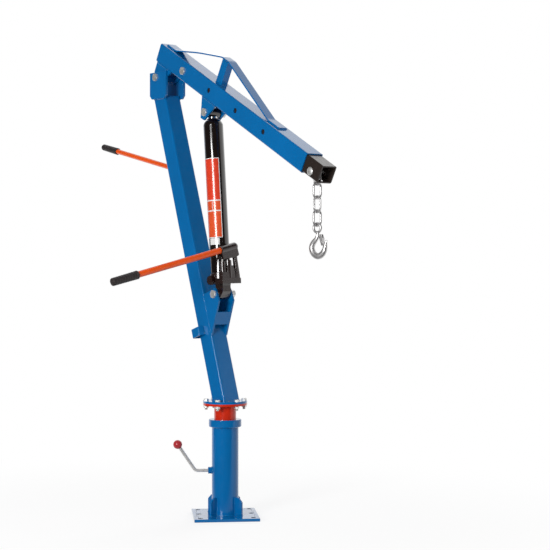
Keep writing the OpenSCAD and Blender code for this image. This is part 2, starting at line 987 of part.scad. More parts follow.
module jack_gland() {
  r = jack_d / 2;
  color(black)
    at_jack()
      translate([0, 0, tube_high])
        rotate_extrude($fn = 72)
          polygon([
            [ram_d / 2 + run_gap, 0], [r, 0], [r, 3], [r - 1.5, 9], [r - 4.5, 15],
            [r - 9, 20.5], [r - 14, gland_h - 4], [r - 14, gland_h - 1], [r - 15, gland_h],
            [ram_d / 2 + run_gap, gland_h]
          ]);
}

// Base casting: round block with a bevelled underside, foot eye, and the lobe for the pump
base_rim = 3;       // step of the casting beyond the tube
foot_half = 20;
foot_eye_d = 42;
lobe_y0 = -50;
lobe_y1 = 42;
lobe_low = 38;
lobe_top = 60;
pump_half = 13;
lobe_x0 = 26;
module jack_base() {
  r = jack_d / 2 + base_rim;
  z0 = jack_base_low;
  z1 = z0 + jack_base_h;
  color(black)
    at_jack()
      difference() {
        union() {
          rotate_extrude($fn = 72)
            polygon([
              [0, z0 - 7], [r - 14, z0 - 7], [r - 5, z0 - 2], [r - 1, z0 + 4], [r, z0 + 9],
              [r, z1 - 2], [r - 2, z1], [0, z1]
            ]);
          side_plate([
            [-20, 2], [-11, 24], [-16, z0], [39, z0], [35, 30], [35, 8], [22, -7], [0, -12]
          ], -foot_half, foot_half);
          cross_rod([0, 0], foot_eye_d, -foot_half, foot_half);
          translate([lobe_x0, lobe_y0, lobe_low])
            cube([pump_x + pump_half - lobe_x0, lobe_y1 - lobe_y0, lobe_top - lobe_low]);
        }
        cross_rod([0, 0], bolt_hole, -foot_half - 1, foot_half + 1);
        translate([0, -r + 10, knob_up])
          rotate([90, 0, 0])
            cylinder(d = knob_stem + 2 * run_gap, h = 30);
      }
}

// Release valve knob on the side of the base casting
knob_up = 56;
knob_stem = 10;
knob_wide = 38;
knob_thick = 13;
module release_knob() {
  y = -jack_d / 2 - base_rim - 2;
  color(black)
    at_jack()
      translate([0, y, knob_up])
        rotate([90, 0, 0]) {
          difference() {
            cylinder(d = knob_wide, h = knob_thick, $fn = 36);
            for (a = [0:30:330])
              rotate([0, 0, a])
                translate([knob_wide / 2 + 0.5, 0, -1])
                  cylinder(d = 5, h = knob_thick + 2, $fn = 16);
          }
          translate([0, 0, -10])
            cylinder(d = knob_stem, h = 11);
        }
}

// Pump: a body with two barrels, a link that carries the handle, and two plungers
plunger_y = [-8, -36];
plunger_d = [14, 10];
barrel_d = [26, 22];
body_top = 84;
barrel_gap = 18;    // from a plunger's pin down to the top of its barrel
module pump_barrels() {
  x0 = pump_x - pump_half + 1;
  x1 = pump_x + pump_half - 1;
  color(black)
    at_jack()
      difference() {
        union() {
          translate([x1, 0, 0])
            rotate([0, -90, 0])
              linear_extrude(x1 - x0)
                polygon([
                  [lobe_top, lobe_y0 + 1], [body_top, lobe_y0 + 1], [body_top, -23],
                  [body_top + 26, -23], [body_top + 26, 7], [body_top, 15], [lobe_top, 15]
                ]);
          for (i = [0, 1])
            translate([pump_x, plunger_y[i], lobe_top])
              cylinder(d = barrel_d[i], h = pin_z(plunger_y[i]) - barrel_gap - lobe_top);
        }
        for (i = [0, 1])
          translate([pump_x, plunger_y[i], lobe_top - 1])
            cylinder(d = plunger_d[i] + 2 * run_gap, h = 200);
      }
}

fulcrum_y = 26;
fulcrum_z = 158;
link_foot_y = 31;
link_w = 16;
module pump_pin(y, z, d, x0, x1) {
  translate([x0, y, z])
    rotate([0, 90, 0])
      cylinder(d = d, h = x1 - x0, $fn = 32);
}

// Cast link: a waisted bar from the lobe up to the fulcrum
fork_in = 9;        // half the inner width of the socket's fork
fork_out = 14;      // half its outer width
fork_pin = 8;
module pump_link() {
  half = fork_in - side_gap;
  foot = link_foot_y;
  color(black)
    at_jack()
      difference() {
        union() {
          translate([pump_x + half, 0, 0])
            rotate([0, -90, 0])
              linear_extrude(2 * half)
                polygon([
                  [lobe_top, foot - 14], [lobe_top + 14, foot - 13], [lobe_top + 26, foot - 8],
                  [fulcrum_z - 20, fulcrum_y - 6], [fulcrum_z, fulcrum_y - 7],
                  [fulcrum_z, fulcrum_y + 7], [fulcrum_z - 20, fulcrum_y + 7],
                  [lobe_top + 26, foot + 9], [lobe_top + 8, foot + 11], [lobe_top, foot + 11]
                ]);
          pump_pin(fulcrum_y, fulcrum_z, link_w, pump_x - half, pump_x + half);
        }
        pump_pin(fulcrum_y, fulcrum_z, fork_pin + 2 * run_gap, pump_x - 20, pump_x + 20);
      }
}

// ---------- ram ----------

ram_low = tube_low + 12;
piston_h = 24;
module ram_rod() {
  color(zinc)
    at_jack() {
      translate([0, 0, ram_low])
        cylinder(d = ram_d, h = jack_closed - eye_d / 2 + 2 - ram_low);
      translate([0, 0, ram_low])
        cylinder(d = jack_d - 2 * jack_wall - 2 * run_gap, h = piston_h, $fn = 72);
    }
}

eye_d = 40;
eye_half = 26;
module ram_eye() {
  color(black)
    at_jack()
      difference() {
        cross_rod([0, jack_closed], eye_d, -eye_half, eye_half);
        cross_rod([0, jack_closed], bolt_d + 1, -eye_half - 1, eye_half + 1);
        translate([0, 0, ram_low])
          cylinder(d = ram_d, h = jack_closed - eye_d / 2 + 2 - ram_low);
      }
}

// ---------- pump handle ----------

// Frame with +Z along the pump handle, at the fulcrum
socket_rise = 28;   // height of the socket over the fulcrum, square to the handle
socket_len = 68;
socket_back = 18;
socket_wall = 4;
pump_seat = 30;     // distance from the fulcrum to the tube's seat in the socket
module at_handle() {
  at_jack()
    translate([pump_x, fulcrum_y, fulcrum_z])
      rotate([90 + pump_droop, 0, 0])
        children();
}

module handle_socket() {
  r = pump_tube_d / 2 + socket_wall;
  color(black)
    difference() {
      union() {
        at_handle() {
          translate([0, socket_rise, -socket_back])
            rotate_extrude($fn = 48)
              polygon([
                [0, 0], [r - 9, 0], [r - 4, 2.5], [r - 1, 7], [r, 12],
                [r, socket_back + socket_len - 1], [r - 1, socket_back + socket_len],
                [0, socket_back + socket_len]
              ]);
          for (x = [-fork_out, fork_in])
            translate([x, 0, 0])
              rotate([0, -90, 0])
                translate([0, 0, -fork_out + fork_in])
                  linear_extrude(fork_out - fork_in)
                    polygon([
                      [-11, -7], [-6, -11], [6, -12], [20, -13], [48, -10], [70, -7],
                      [70, socket_rise - 2], [-11, socket_rise - 2]
                    ]);
        }
        at_jack() {
          pump_pin(fulcrum_y, fulcrum_z, fork_pin, pump_x - fork_out, pump_x + fork_out);
          for (y = plunger_y)
            pump_pin(y, pin_z(y), fork_pin, pump_x - fork_out, pump_x + fork_out);
        }
      }
      at_handle()
        translate([0, socket_rise, pump_seat])
          cylinder(d = pump_tube_d + 2 * seat_gap, h = socket_len);
    }
}
function pin_z(y) = fulcrum_z - (fulcrum_y - y) * tan(pump_droop);

module pump_tube() {
  color(orange)
    at_handle()
      translate([0, socket_rise, pump_seat + 2])
        handle_tube(pump_tube_d, pump_reach - pump_seat - 2);
}

module pump_grip() {
  color(black)
    at_handle()
      translate([0, socket_rise, pump_reach])
        grip(pump_tube_d);
}

// Plunger along the jack, its head slotted for the handle's pin
module plunger(i) {
  z0 = lobe_top + 1;
  z1 = pin_z(plunger_y[i]);
  head_w = 20;
  head_half = fork_in - side_gap;
  color(zinc)
    at_jack()
      difference() {
        union() {
          translate([pump_x, plunger_y[i], z0])
            cylinder(d = plunger_d[i], h = z1 - z0);
          translate([pump_x - head_half, plunger_y[i] - head_w / 2, z1 - 8])
            cube([2 * head_half, head_w, 14]);
        }
        for (dy = [-2, 4])
          pump_pin(plunger_y[i] + dy, z1, fork_pin + 1, pump_x - 20, pump_x + 20);
        translate([pump_x - 20, plunger_y[i] - 2, z1 - (fork_pin + 1) / 2])
          cube([40, 6, fork_pin + 1]);
      }
}
module plunger_small() {
  plunger(1);
}
module plunger_large() {
  plunger(0);
}

base_plate();
column_tube();
gussets();
column_collar();
thrust_ring();
brake_boss();
brake_rod();
brake_knob();
spigot();
mast_flange();
flange_bolts();
mast_tube();
hinge_cheeks();
hinge_bolt();
jack_bracket();
jack_foot_bolt();
handle_holder();
steer_stud();
steer_tube();
steer_grip();
boom_tube();
root_plates();
lug_plates();
lug_bolts();
strap();
strap_post();
lock_bolt();
extension_tube();
chain_bolt();
chain_links();
hook();
hook_latch();
jack_tube();
jack_gland();
jack_base();
pump_barrels();
pump_link();
ram_rod();
ram_eye();
handle_socket();
pump_tube();
pump_grip();
plunger_small();
plunger_large();
release_knob();
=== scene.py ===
"""Looks of the hydraulic swivel jib crane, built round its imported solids. Metres, row frame."""

import json
import random
from math import atan, cos, degrees, dist, exp, pi, radians, sin, sqrt, tan

import bmesh
import bpy
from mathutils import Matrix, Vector


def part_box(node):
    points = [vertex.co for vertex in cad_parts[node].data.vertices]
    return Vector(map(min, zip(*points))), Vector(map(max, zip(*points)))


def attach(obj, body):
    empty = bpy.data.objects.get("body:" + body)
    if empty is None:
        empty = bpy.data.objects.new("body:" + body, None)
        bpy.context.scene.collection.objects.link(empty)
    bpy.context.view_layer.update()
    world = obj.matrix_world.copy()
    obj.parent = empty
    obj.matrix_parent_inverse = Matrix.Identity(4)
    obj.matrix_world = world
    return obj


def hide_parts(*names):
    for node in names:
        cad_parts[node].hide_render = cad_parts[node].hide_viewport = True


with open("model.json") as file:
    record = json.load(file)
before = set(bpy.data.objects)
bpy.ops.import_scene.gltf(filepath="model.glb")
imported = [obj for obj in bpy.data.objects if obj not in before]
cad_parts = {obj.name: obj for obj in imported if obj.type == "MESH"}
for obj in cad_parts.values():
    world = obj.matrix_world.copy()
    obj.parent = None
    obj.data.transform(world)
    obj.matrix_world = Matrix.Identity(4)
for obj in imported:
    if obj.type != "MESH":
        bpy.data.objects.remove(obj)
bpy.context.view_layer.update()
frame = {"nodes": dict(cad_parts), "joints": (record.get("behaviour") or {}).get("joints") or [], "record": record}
nodes = frame["nodes"]
record = frame["record"]
MM = 0.001
EX, EY, EZ = Vector((1.0, 0.0, 0.0)), Vector((0.0, 1.0, 0.0)), Vector((0.0, 0.0, 1.0))


# ---------- materials ----------


def set_inputs(node, **values):
    """Sets inputs of a node by their names, with _ in place of a space."""
    for key, value in values.items():
        node.inputs[key.replace("_", " ")].default_value = value


class Tree:
    """A material's node tree with short ways to add nodes."""

    def __init__(self, name):
        self.material = bpy.data.materials.new(name)
        self.material.use_nodes = True
        self.nodes = self.material.node_tree.nodes
        self.links = self.material.node_tree.links
        self.nodes.clear()
        self.out = self.add("ShaderNodeOutputMaterial")
        self.shader = self.add("ShaderNodeBsdfPrincipled")
        self.link(self.shader.outputs[0], self.out.inputs["Surface"])
        self.place = self.add("ShaderNodeTexCoord").outputs["Object"]

    def add(self, kind, **values):
        node = self.nodes.new(kind)
        for key, value in values.items():
            setattr(node, key, value)
        return node

    def link(self, a, b):
        self.links.new(a, b)

    def noise(self, scale, detail=2.0, roughness=0.5, source=None):
        node = self.add("ShaderNodeTexNoise")
        set_inputs(node, Scale=scale, Detail=detail, Roughness=roughness)
        self.link(source or self.place, node.inputs["Vector"])
        return node.outputs["Fac"]

    def span(self, value, low, high, from_low=0.3, from_high=0.7):
        node = self.add("ShaderNodeMapRange")
        set_inputs(node, From_Min=from_low, From_Max=from_high, To_Min=low, To_Max=high)
        self.link(value, node.inputs["Value"])
        return node.outputs[0]

    def mix(self, factor, a, b):
        node = self.add("ShaderNodeMix", data_type="RGBA")
        for socket, value in ((node.inputs[6], a), (node.inputs[7], b)):
            if isinstance(value, tuple):
                socket.default_value = (*value, 1.0)
            else:
                self.link(value, socket)
        self.link(factor, node.inputs[0])
        return node.outputs[2]

    def bump(self, height, distance, strength=1.0, under=None):
        node = self.add("ShaderNodeBump")
        set_inputs(node, Strength=strength, Distance=distance)
        self.link(height, node.inputs["Height"])
        if under is not None:
            self.link(under, node.inputs["Normal"])
        return node.outputs[0]


def shade(color, factor):
    return tuple(min(1.0, c * factor) for c in color)


def paint(name, color, rough=0.3, coat_rough=0.05, peel=0.00004, level=0.25, coat_ior=1.25):
    """Sprayed gloss paint: slight cloudiness, orange peel and a little dust."""
    t = Tree(name)
    cloud = t.span(t.noise(scale=7.0, detail=3.0), 0.0, 1.0)
    tone = t.mix(cloud, shade(color, 0.94), shade(color, 1.05))
    speck = t.noise(scale=380.0, detail=4.0, roughness=0.7)
    dust = t.span(speck, 0.0, 0.12, from_low=0.66, from_high=0.85)
    t.link(t.mix(dust, tone, shade(color, 1.5)), t.shader.inputs["Base Color"])
    patch = t.noise(scale=60.0, detail=4.0)
    t.link(t.span(patch, rough - 0.04, rough + 0.07), t.shader.inputs["Roughness"])
    wave = t.bump(t.noise(scale=45.0), distance=peel * 3, strength=0.4)
    skin = t.bump(t.noise(scale=480.0), distance=peel, strength=0.5, under=wave)
    t.link(skin, t.shader.inputs["Normal"])
    t.link(wave, t.shader.inputs["Coat Normal"])
    set_inputs(t.shader, Coat_Weight=1.0, Coat_Roughness=coat_rough, Coat_IOR=coat_ior)
    set_inputs(t.shader, Specular_IOR_Level=level)
    return t.material


def enamel(name, color, rough, cast=0.0):
    """Black enamel on the jack; on its castings the sand grain shows through."""
    t = Tree(name)
    cloud = t.span(t.noise(scale=25.0, detail=3.0), 0.0, 1.0)
    t.link(t.mix(cloud, shade(color, 0.8), shade(color, 1.25)), t.shader.inputs["Base Color"])
    patch = t.noise(scale=90.0, detail=4.0)
    t.link(t.span(patch, rough - 0.03, rough + 0.05), t.shader.inputs["Roughness"])
    skin = t.bump(t.noise(scale=50.0), distance=0.00008, strength=0.5)
    if cast:
        sand = t.noise(scale=420.0, detail=3.0, roughness=0.6)
        skin = t.bump(sand, distance=cast, strength=0.7, under=skin)
    t.link(skin, t.shader.inputs["Normal"])
    t.link(skin, t.shader.inputs["Coat Normal"])
    set_inputs(t.shader, Coat_Weight=1.0, Coat_Roughness=0.12 if cast else 0.04, Specular_IOR_Level=0.5)
    return t.material


def metal(name, color, rough=0.3, grain=(1.0, 1.0, 1.0), spangle=0.0, metallic=1.0):
    """Bare or plated steel: fine grain, blotches and, where asked, zinc spangle."""
    t = Tree(name)
    stretch = t.add("ShaderNodeMapping")
    set_inputs(stretch, Scale=grain)
    t.link(t.place, stretch.inputs["Vector"])
    fine = t.noise(scale=900.0, detail=3.0, roughness=0.6, source=stretch.outputs[0])
    blotch = t.noise(scale=70.0, detail=4.0, roughness=0.6)
    tone = t.mix(t.span(blotch, 0.0, 1.0), shade(color, 0.84), shade(color, 1.08))
    if spangle:
        cell = t.add("ShaderNodeTexVoronoi")
        set_inputs(cell, Scale=420.0)
        t.link(t.place, cell.inputs["Vector"])
        edge = t.span(cell.outputs["Distance"], 0.0, spangle, from_low=0.0, from_high=0.8)
        tone = t.mix(edge, tone, shade(color, 0.7))
    t.link(tone, t.shader.inputs["Base Color"])
    t.link(t.span(blotch, rough - 0.07, rough + 0.1), t.shader.inputs["Roughness"])
    t.link(t.bump(fine, distance=0.00002, strength=0.5), t.shader.inputs["Normal"])
    set_inputs(t.shader, Metallic=metallic)
    return t.material


def plastic(name, color, rough=0.35, grain=0.00003, level=0.5):
    """Moulded plastic or rubber with a fine grain."""
    t = Tree(name)
    cloud = t.span(t.noise(scale=40.0, detail=3.0), 0.0, 1.0)
    t.link(t.mix(cloud, shade(color, 0.9), shade(color, 1.1)), t.shader.inputs["Base Color"])
    patch = t.noise(scale=150.0, detail=3.0)
    t.link(t.span(patch, rough - 0.05, rough + 0.08), t.shader.inputs["Roughness"])
    skin = t.bump(t.noise(scale=1500.0), distance=grain, strength=0.6)
    t.link(skin, t.shader.inputs["Normal"])
    set_inputs(t.shader, Specular_IOR_Level=level)
    return t.material


def film(name, color):
    """Glossy printed film of a blank label."""
    t = Tree(name)
    fade = t.span(t.noise(scale=18.0, detail=3.0), 0.0, 1.0)
    t.link(t.mix(fade, shade(color, 0.93), shade(color, 1.04)), t.shader.inputs["Base Color"])
    t.link(t.span(t.noise(scale=60.0), 0.22, 0.32), t.shader.inputs["Roughness"])
    skin = t.bump(t.noise(scale=200.0), distance=0.00002, strength=0.5)
    t.link(skin, t.shader.inputs["Normal"])
    set_inputs(t.shader, Coat_Weight=0.8, Coat_Roughness=0.05)
    return t.material


# Each look's recipe, its linear colour and the recipe's other values
RECIPES = {
    "blue_paint": (paint, (0.0008, 0.145, 0.415), dict(rough=0.16, level=0.22)),
    "red_paint": (paint, (0.66, 0.026, 0.005), dict(rough=0.22)),
    "black_paint": (paint, (0.027, 0.019, 0.016), dict(rough=0.34, coat_rough=0.12)),
    "orange_paint": (paint, (0.98, 0.105, 0.006), dict(rough=0.26)),
    # a darker copy of the orange paint: painted shade on the steering stud, which sits in shadow
    "stud_paint": (paint, (0.15, 0.008, 0.007), dict(rough=0.35)),
    "jack_enamel": (enamel, (0.0070, 0.0026, 0.0018), dict(rough=0.14)),
    "jack_casting": (enamel, (0.020, 0.0080, 0.0065), dict(rough=0.26, cast=0.00012)),
    "zinc_plate": (metal, (0.82, 0.82, 0.80), dict(rough=0.40, metallic=0.7)),
    "rod_plate": (metal, (0.86, 0.85, 0.84), dict(rough=0.30, metallic=0.55)),
    "galvanised": (metal, (0.68, 0.67, 0.67), dict(rough=0.33, spangle=0.25, metallic=0.75)),
    "chrome_rod": (metal, (0.72, 0.73, 0.74), dict(rough=0.12, grain=(1.0, 1.0, 12.0))),
    # dark steel used as painted shade on the walls of the anchor holes
    "dark_steel": (metal, (0.22, 0.21, 0.20), dict(rough=0.26)),
    "knob_plastic": (plastic, (0.47, 0.036, 0.045), dict(rough=0.16)),
    "grip_rubber": (plastic, (0.036, 0.029, 0.029), dict(rough=0.45, grain=0.00008, level=0.35)),
    "label_white": (film, (0.86, 0.86, 0.86), {}),
    "label_red": (film, (0.80, 0.050, 0.014), {}),
    "label_orange": (film, (0.82, 0.095, 0.020), {}),
}
materials = {name: make(name, color, **values) for name, (make, color, values) in RECIPES.items()}
slot_of = {s["node"]: s["material_slot"] for s in record["subparts"]}
# Nodes whose look isn't their slot's usual one
LOOK_OF = {
    "jack_base": "jack_casting", "pump_barrels": "jack_casting", "pump_link": "jack_casting",
    # the steering stud takes the orange paint darkened as painted shade
    "handle_socket": "jack_casting", "release_knob": "jack_casting", "steer_stud": "stud_paint",
}


def dress(obj, slot, look=None):
    """Gives an object the material of its look, or else the material of its slot."""
    obj.data.materials.clear()
    obj.data.materials.append(materials[look or slot])


# ---------- mesh helpers ----------


def frame_of(axis):
    """Unit vector along an axis and two more square to it."""
    axis = Vector(axis).normalized()
    u = axis.orthogonal().normalized()
    return axis, u, axis.cross(u)


def polar(u, v, angle):
    """Direction at an angle from u towards v."""
    return u * cos(angle) + v * sin(angle)


def whole_turn(count):
    """Angles spread evenly over a whole turn."""
    return [2 * pi * k / count for k in range(count)]


class Axes:
    """A frame in the XZ plane: x and z run along and up a member, y is the row's own."""

    def __init__(self, origin, along=None, up=None):
        self.origin = Vector(origin)
        self.y = EY
        if along is not None:
            self.x = Vector(along).normalized()
            self.z = self.x.cross(self.y)
        else:
            self.z = Vector(up).normalized()
            self.x = self.y.cross(self.z)

    def at(self, x, y, z):
        """Point at x, y, z millimetres in this frame, in metres."""
        return self.origin + (self.x * x + self.y * y + self.z * z) * MM


class Shape:
    """Vertices and faces of one piece, gathered from closed skins."""

    def __init__(self):
        self.verts = []
        self.faces = []

    def skin(self, rings, caps=True, closed=False):
        """Closed skin over a row of rings, with flat caps or joined end to end."""
        base = len(self.verts)
        count = len(rings[0])
        for ring in rings:
            self.verts.extend(ring)
        spans = len(rings) if closed else len(rings) - 1
        for i in range(spans):
            a = base + i * count
            b = base + (i + 1) % len(rings) * count
            for k in range(count):
                n = (k + 1) % count
                self.faces.append((a + k, a + n, b + n, b + k))
        if caps and not closed:
            last = base + (len(rings) - 1) * count
            self.faces.append(tuple(base + k for k in reversed(range(count))))
            self.faces.append(tuple(last + k for k in range(count)))

    def sweep(self, points, radii, sides=12, closed=False):
        """Round section along a path, with a radius at each point."""
        rings = []
        normal = None
        last = len(points) - 1
        for i, point in enumerate(points):
            before = points[i - 1] if i or closed else point
            after = points[(i + 1) % len(points)] if i < last or closed else point
            along = (after - before).normalized()
            if normal is None:
                normal = along.orthogonal().normalized()
            normal = (normal - along * normal.dot(along)).normalized()
            side = along.cross(normal)
            rings.append([point + polar(normal, side, a) * radii[i] for a in whole_turn(sides)])
        self.skin(rings, caps=not closed, closed=closed)

    def turned(self, profile, origin, axis, sides=48, caps=True):
        """Body of revolution: profile holds (radius, height) along the axis, in millimetres."""
        axis, u, v = frame_of(axis)
        self.skin([
            [origin + (axis * h + polar(u, v, a) * r) * MM for a in whole_turn(sides)]
            for r, h in profile
        ], caps=caps)


def make_object(name, shape, smooth=True):
    """Object of a shape, in the scene's own collection."""
    mesh = bpy.data.meshes.new(name)
    mesh.from_pydata([tuple(v) for v in shape.verts], [], shape.faces)
    obj = bpy.data.objects.new(name, mesh)
    bpy.context.scene.collection.objects.link(obj)
    tidy_mesh(mesh, smooth)
    return obj


def tidy_mesh(mesh, smooth=True):
    """Joins doubled points and turns every face outwards."""
    bm = bmesh.new()
    bm.from_mesh(mesh)
    bmesh.ops.remove_doubles(bm, verts=bm.verts, dist=1e-7)
    bmesh.ops.recalc_face_normals(bm, faces=bm.faces)
    bm.to_mesh(mesh)
    bm.free()
    mesh.polygons.foreach_set("use_smooth", [smooth] * len(mesh.polygons))


def apply_modifiers(obj):
    """Bakes an object's modifiers into its mesh."""
    bpy.context.view_layer.update()
    seen = obj.evaluated_get(bpy.context.evaluated_depsgraph_get())
    mesh = bpy.data.meshes.new_from_object(seen)
    obj.modifiers.clear()
    obj.data = mesh


def cut_away(obj, cutters):
    """Takes the cutters out of the object and removes them."""
    for cutter in cutters:
        cut = obj.modifiers.new("cut", "BOOLEAN")
        cut.operation = "DIFFERENCE"
        cut.solver = "EXACT"
        cut.object = cutter
    apply_modifiers(obj)
    for cutter in cutters:
        bpy.data.objects.remove(cutter)


def flatten_shading(obj):
    """Keeps flat faces flat beside rounded edges."""
    flat = obj.modifiers.new("normals", "WEIGHTED_NORMAL")
    flat.mode = "FACE_AREA"
    flat.weight = 60
    flat.keep_sharp = True


def soften_edges(obj, width, angle=32.0):
    """Rounds edges sharper than an angle over a width in millimetres."""
    bevel = obj.modifiers.new("edges", "BEVEL")
    bevel.width = width * MM
    bevel.segments = 2
    bevel.limit_method = "ANGLE"
    bevel.angle_limit = radians(angle)


def add_piece(obj, body, slot, stands_for=(), look=None, sharp=35.0):
    """Finishes a new piece: crisp edges, material, body and the nodes that it stands for."""
    if sharp:
        obj.data.set_sharp_from_angle(angle=radians(sharp))
    dress(obj, slot, look)
    if stands_for:
        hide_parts(*stands_for)
    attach(obj, body)


def joint_at(name):
    return next(j for j in frame["joints"] if j["name"] == name)


# ---------- frames of the members ----------

MAST_SIDE = 80.0
LEAN_ROUNDS = 40
mast_low, mast_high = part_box("mast_tube")
mast_rise = mast_high.z - mast_low.z
mast_span = mast_high.x - mast_low.x
mast_lean = 0.0
for _ in range(LEAN_ROUNDS):  # the lean and the section's width settle together
    width = MAST_SIDE * MM / cos(mast_lean)
    mast_lean = atan((mast_span - width) / mast_rise)
MAST_HALF_X = MAST_SIDE / 2 / cos(mast_lean)
mast_axes = Axes(
    (mast_high.x - MAST_HALF_X * MM, 0.0, mast_low.z),
    up=(-sin(mast_lean), 0.0, cos(mast_lean)),
)
boom_axes = Axes(joint_at("boom_lift")["pos_m"], along=joint_at("extension_slide")["axis"])
jack_axes = Axes(joint_at("jack_swing")["pos_m"], up=joint_at("ram_slide")["axis"])


def mast_s(z, u):
    """Length up the mast of the level z at the distance u ahead of its middle."""
    return ((z - mast_low.z) / MM - u * sin(mast_lean)) / cos(mast_lean)


# ---------- CAD nodes that stay ----------

DEFAULT_EDGE = 0.5  # bevel of a node's edges, in millimetres
WELD_REACH = 2e-6  # metres within which doubled points are one
EDGE_WIDTH = {
    "base_plate": 1.0, "gussets": 0.8, "hinge_cheeks": 1.0, "jack_bracket": 1.0, "strap": 1.2,
    "root_plates": 0.8, "lug_plates": 1.0, "handle_holder": 0.8, "strap_post": 1.2,
    "jack_base": 1.6, "pump_barrels": 1.4, "pump_link": 1.6, "handle_socket": 1.4,
    "hook_latch": 0.4, "release_knob": 0.8, "plunger_small": 0.6, "plunger_large": 0.6,
}
for name, obj in nodes.items():
    dress(obj, slot_of[name], LOOK_OF.get(name))
    layers = obj.data.attributes
    for layer in ("custom_normal", "sharp_edge", "sharp_face"):
        if layer in layers:
            layers.remove(layers[layer])
    obj.data.polygons.foreach_set("use_smooth", [True] * len(obj.data.polygons))
    weld = obj.modifiers.new("weld", "WELD")
    weld.merge_threshold = WELD_REACH
    soften_edges(obj, EDGE_WIDTH.get(name, DEFAULT_EDGE))
    flatten_shading(obj)

PLATE_DEGREES = 57.0  # turn of the base plate under the crane
PLATE_TURN = radians(PLATE_DEGREES)
PLATE_HALF = 0.129  # a millimetre inside the plate's edge
PLATE_WAYS = [Vector((cos(a), sin(a), 0.0)) for a in (PLATE_TURN, PLATE_TURN + pi / 2)]


def shade_hole_walls():
    """The drilled walls of the anchor holes get a dark steel colour as painted shade inside the holes."""
    plate = nodes["base_plate"]
    plate.data.materials.append(materials["dark_steel"])
    place = plate.matrix_world
    for face in plate.data.polygons:
        middle = place @ face.center
        upright = abs((place.to_3x3() @ face.normal).z) < 0.5
        if upright and max(abs(middle.dot(way)) for way in PLATE_WAYS) < PLATE_HALF:
            face.material_index = 1


shade_hole_walls()

# ---------- square tubes ----------


def rounded_square(side, radius, steps=6):
    """Loop of points round a square with rounded corners."""
    reach = side / 2 - radius
    loop = []
    for turn, (su, sv) in enumerate(((1, 1), (-1, 1), (-1, -1), (1, -1))):
        for i in range(steps + 1):
            a = radians(90.0 * (turn + i / steps))
            loop.append((su * reach + radius * cos(a), sv * reach + radius * sin(a)))
    return loop


def square_tube(name, side, wall, radius, start, end):
    """Tube of a square section; start and end map a section point to a place in metres."""
    outer = rounded_square(side, radius)
    inner = rounded_square(side - 2 * wall, max(radius - wall, 1.0))
    shape = Shape()
    shape.skin([
        [start(*p) for p in outer], [end(*p) for p in outer],
        [end(*p) for p in inner], [start(*p) for p in inner],
    ], closed=True)
    return make_object(name, shape)


def round_cutter(x, z, diameter, reach=60.0):
    """Round bar across the boom."""
    shape = Shape()
    r = diameter / 2
    shape.turned([(r, -reach), (r, reach)], boom_axes.at(x, 0.0, z), EY)
    return make_object("cutter", shape)


def box_cutter(x0, x1, half, z0, z1):
    """Box between limits along and above the boom and over half a width to both sides."""
    shape = Shape()
    shape.skin([
        [boom_axes.at(x, y, z) for y, z in ((-half, z0), (half, z0), (half, z1), (-half, z1))]
        for x in (x0, x1)
    ])
    return make_object("cutter", shape)


def finish_tube(obj, body, slot, node):
    """Breaks the cut edges only, because the rolled corners are already round."""
    soften_edges(obj, DEFAULT_EDGE, angle=50.0)
    flatten_shading(obj)
    add_piece(obj, body, slot, (node,), sharp=0)


def mast_end(z):
    """Section of the mast cut level at the height z."""
    return lambda u, v: mast_axes.at(u, v, mast_s(z, u))


TUBE_WALL = 4.0
TUBE_CORNER = 7.0
mast_tube = square_tube(
    "mast_tube_rolled", MAST_SIDE, TUBE_WALL, TUBE_CORNER, mast_end(mast_low.z), mast_end(mast_high.z)
)
finish_tube(mast_tube, "mast", "blue_paint", "mast_tube")

BOOM_SIDE = 80.0
BOOM_RISE = 96.0
BOOM_TAIL = 45.0
BOOM_FRONT = 1035.0
BOOM_LOW = BOOM_RISE - BOOM_SIDE / 2
BOOM_HIGH = BOOM_RISE + BOOM_SIDE / 2
LOCK_FIRST = 157.0
LOCK_PITCH = 200.0
LOCK_HOLE = 21.0
LOCK_COUNT = 4


def boom_end(x):
    """Section of the boom cut square at the distance x from its hinge."""
    return lambda u, v: boom_axes.at(x, u, BOOM_RISE + v)


boom_tube = square_tube(
    "boom_tube_rolled", BOOM_SIDE, TUBE_WALL, TUBE_CORNER, boom_end(-BOOM_TAIL), boom_end(BOOM_FRONT)
)
cut_away(boom_tube, [
    round_cutter(LOCK_FIRST + i * LOCK_PITCH, BOOM_RISE, LOCK_HOLE) for i in range(LOCK_COUNT)
])
finish_tube(boom_tube, "boom", "blue_paint", "boom_tube")

EXT_SIDE = 70.0
EXT_WALL = 5.0
EXT_CORNER = 6.5
EXT_REAR = LOCK_FIRST - 41.0
EXT_FRONT = BOOM_FRONT + 98.0
CHAIN_S = EXT_FRONT - 55.0  # chain bolt along the boom
CHAIN_H = BOOM_RISE - 13.0  # chain bolt above the boom's hinge
CHAIN_HOLE = 12.4
chain_pin = boom_axes.at(CHAIN_S, 0.0, CHAIN_H)
SLOT_BACK, SLOT_AHEAD, SLOT_HALF = 42.0, 47.0, 10.0  # slot under the chain bolt
SLOT_LOW, SLOT_HIGH = BOOM_RISE - 37.0, BOOM_RISE - 28.0
PAST_SIDE = 50.0  # past the side of any tube
extension_tube = square_tube(
    "extension_tube_rolled", EXT_SIDE, EXT_WALL, EXT_CORNER, boom_end(EXT_REAR), boom_end(EXT_FRONT)
)
cut_away(extension_tube, [
    round_cutter(LOCK_FIRST, BOOM_RISE, LOCK_HOLE),
    box_cutter(
        EXT_REAR - 1, LOCK_FIRST, PAST_SIDE, BOOM_RISE - LOCK_HOLE / 2, BOOM_RISE + LOCK_HOLE / 2
    ),
    round_cutter(CHAIN_S, CHAIN_H, CHAIN_HOLE),
    box_cutter(CHAIN_S - SLOT_BACK, CHAIN_S + SLOT_AHEAD, SLOT_HALF, SLOT_LOW, SLOT_HIGH),
])
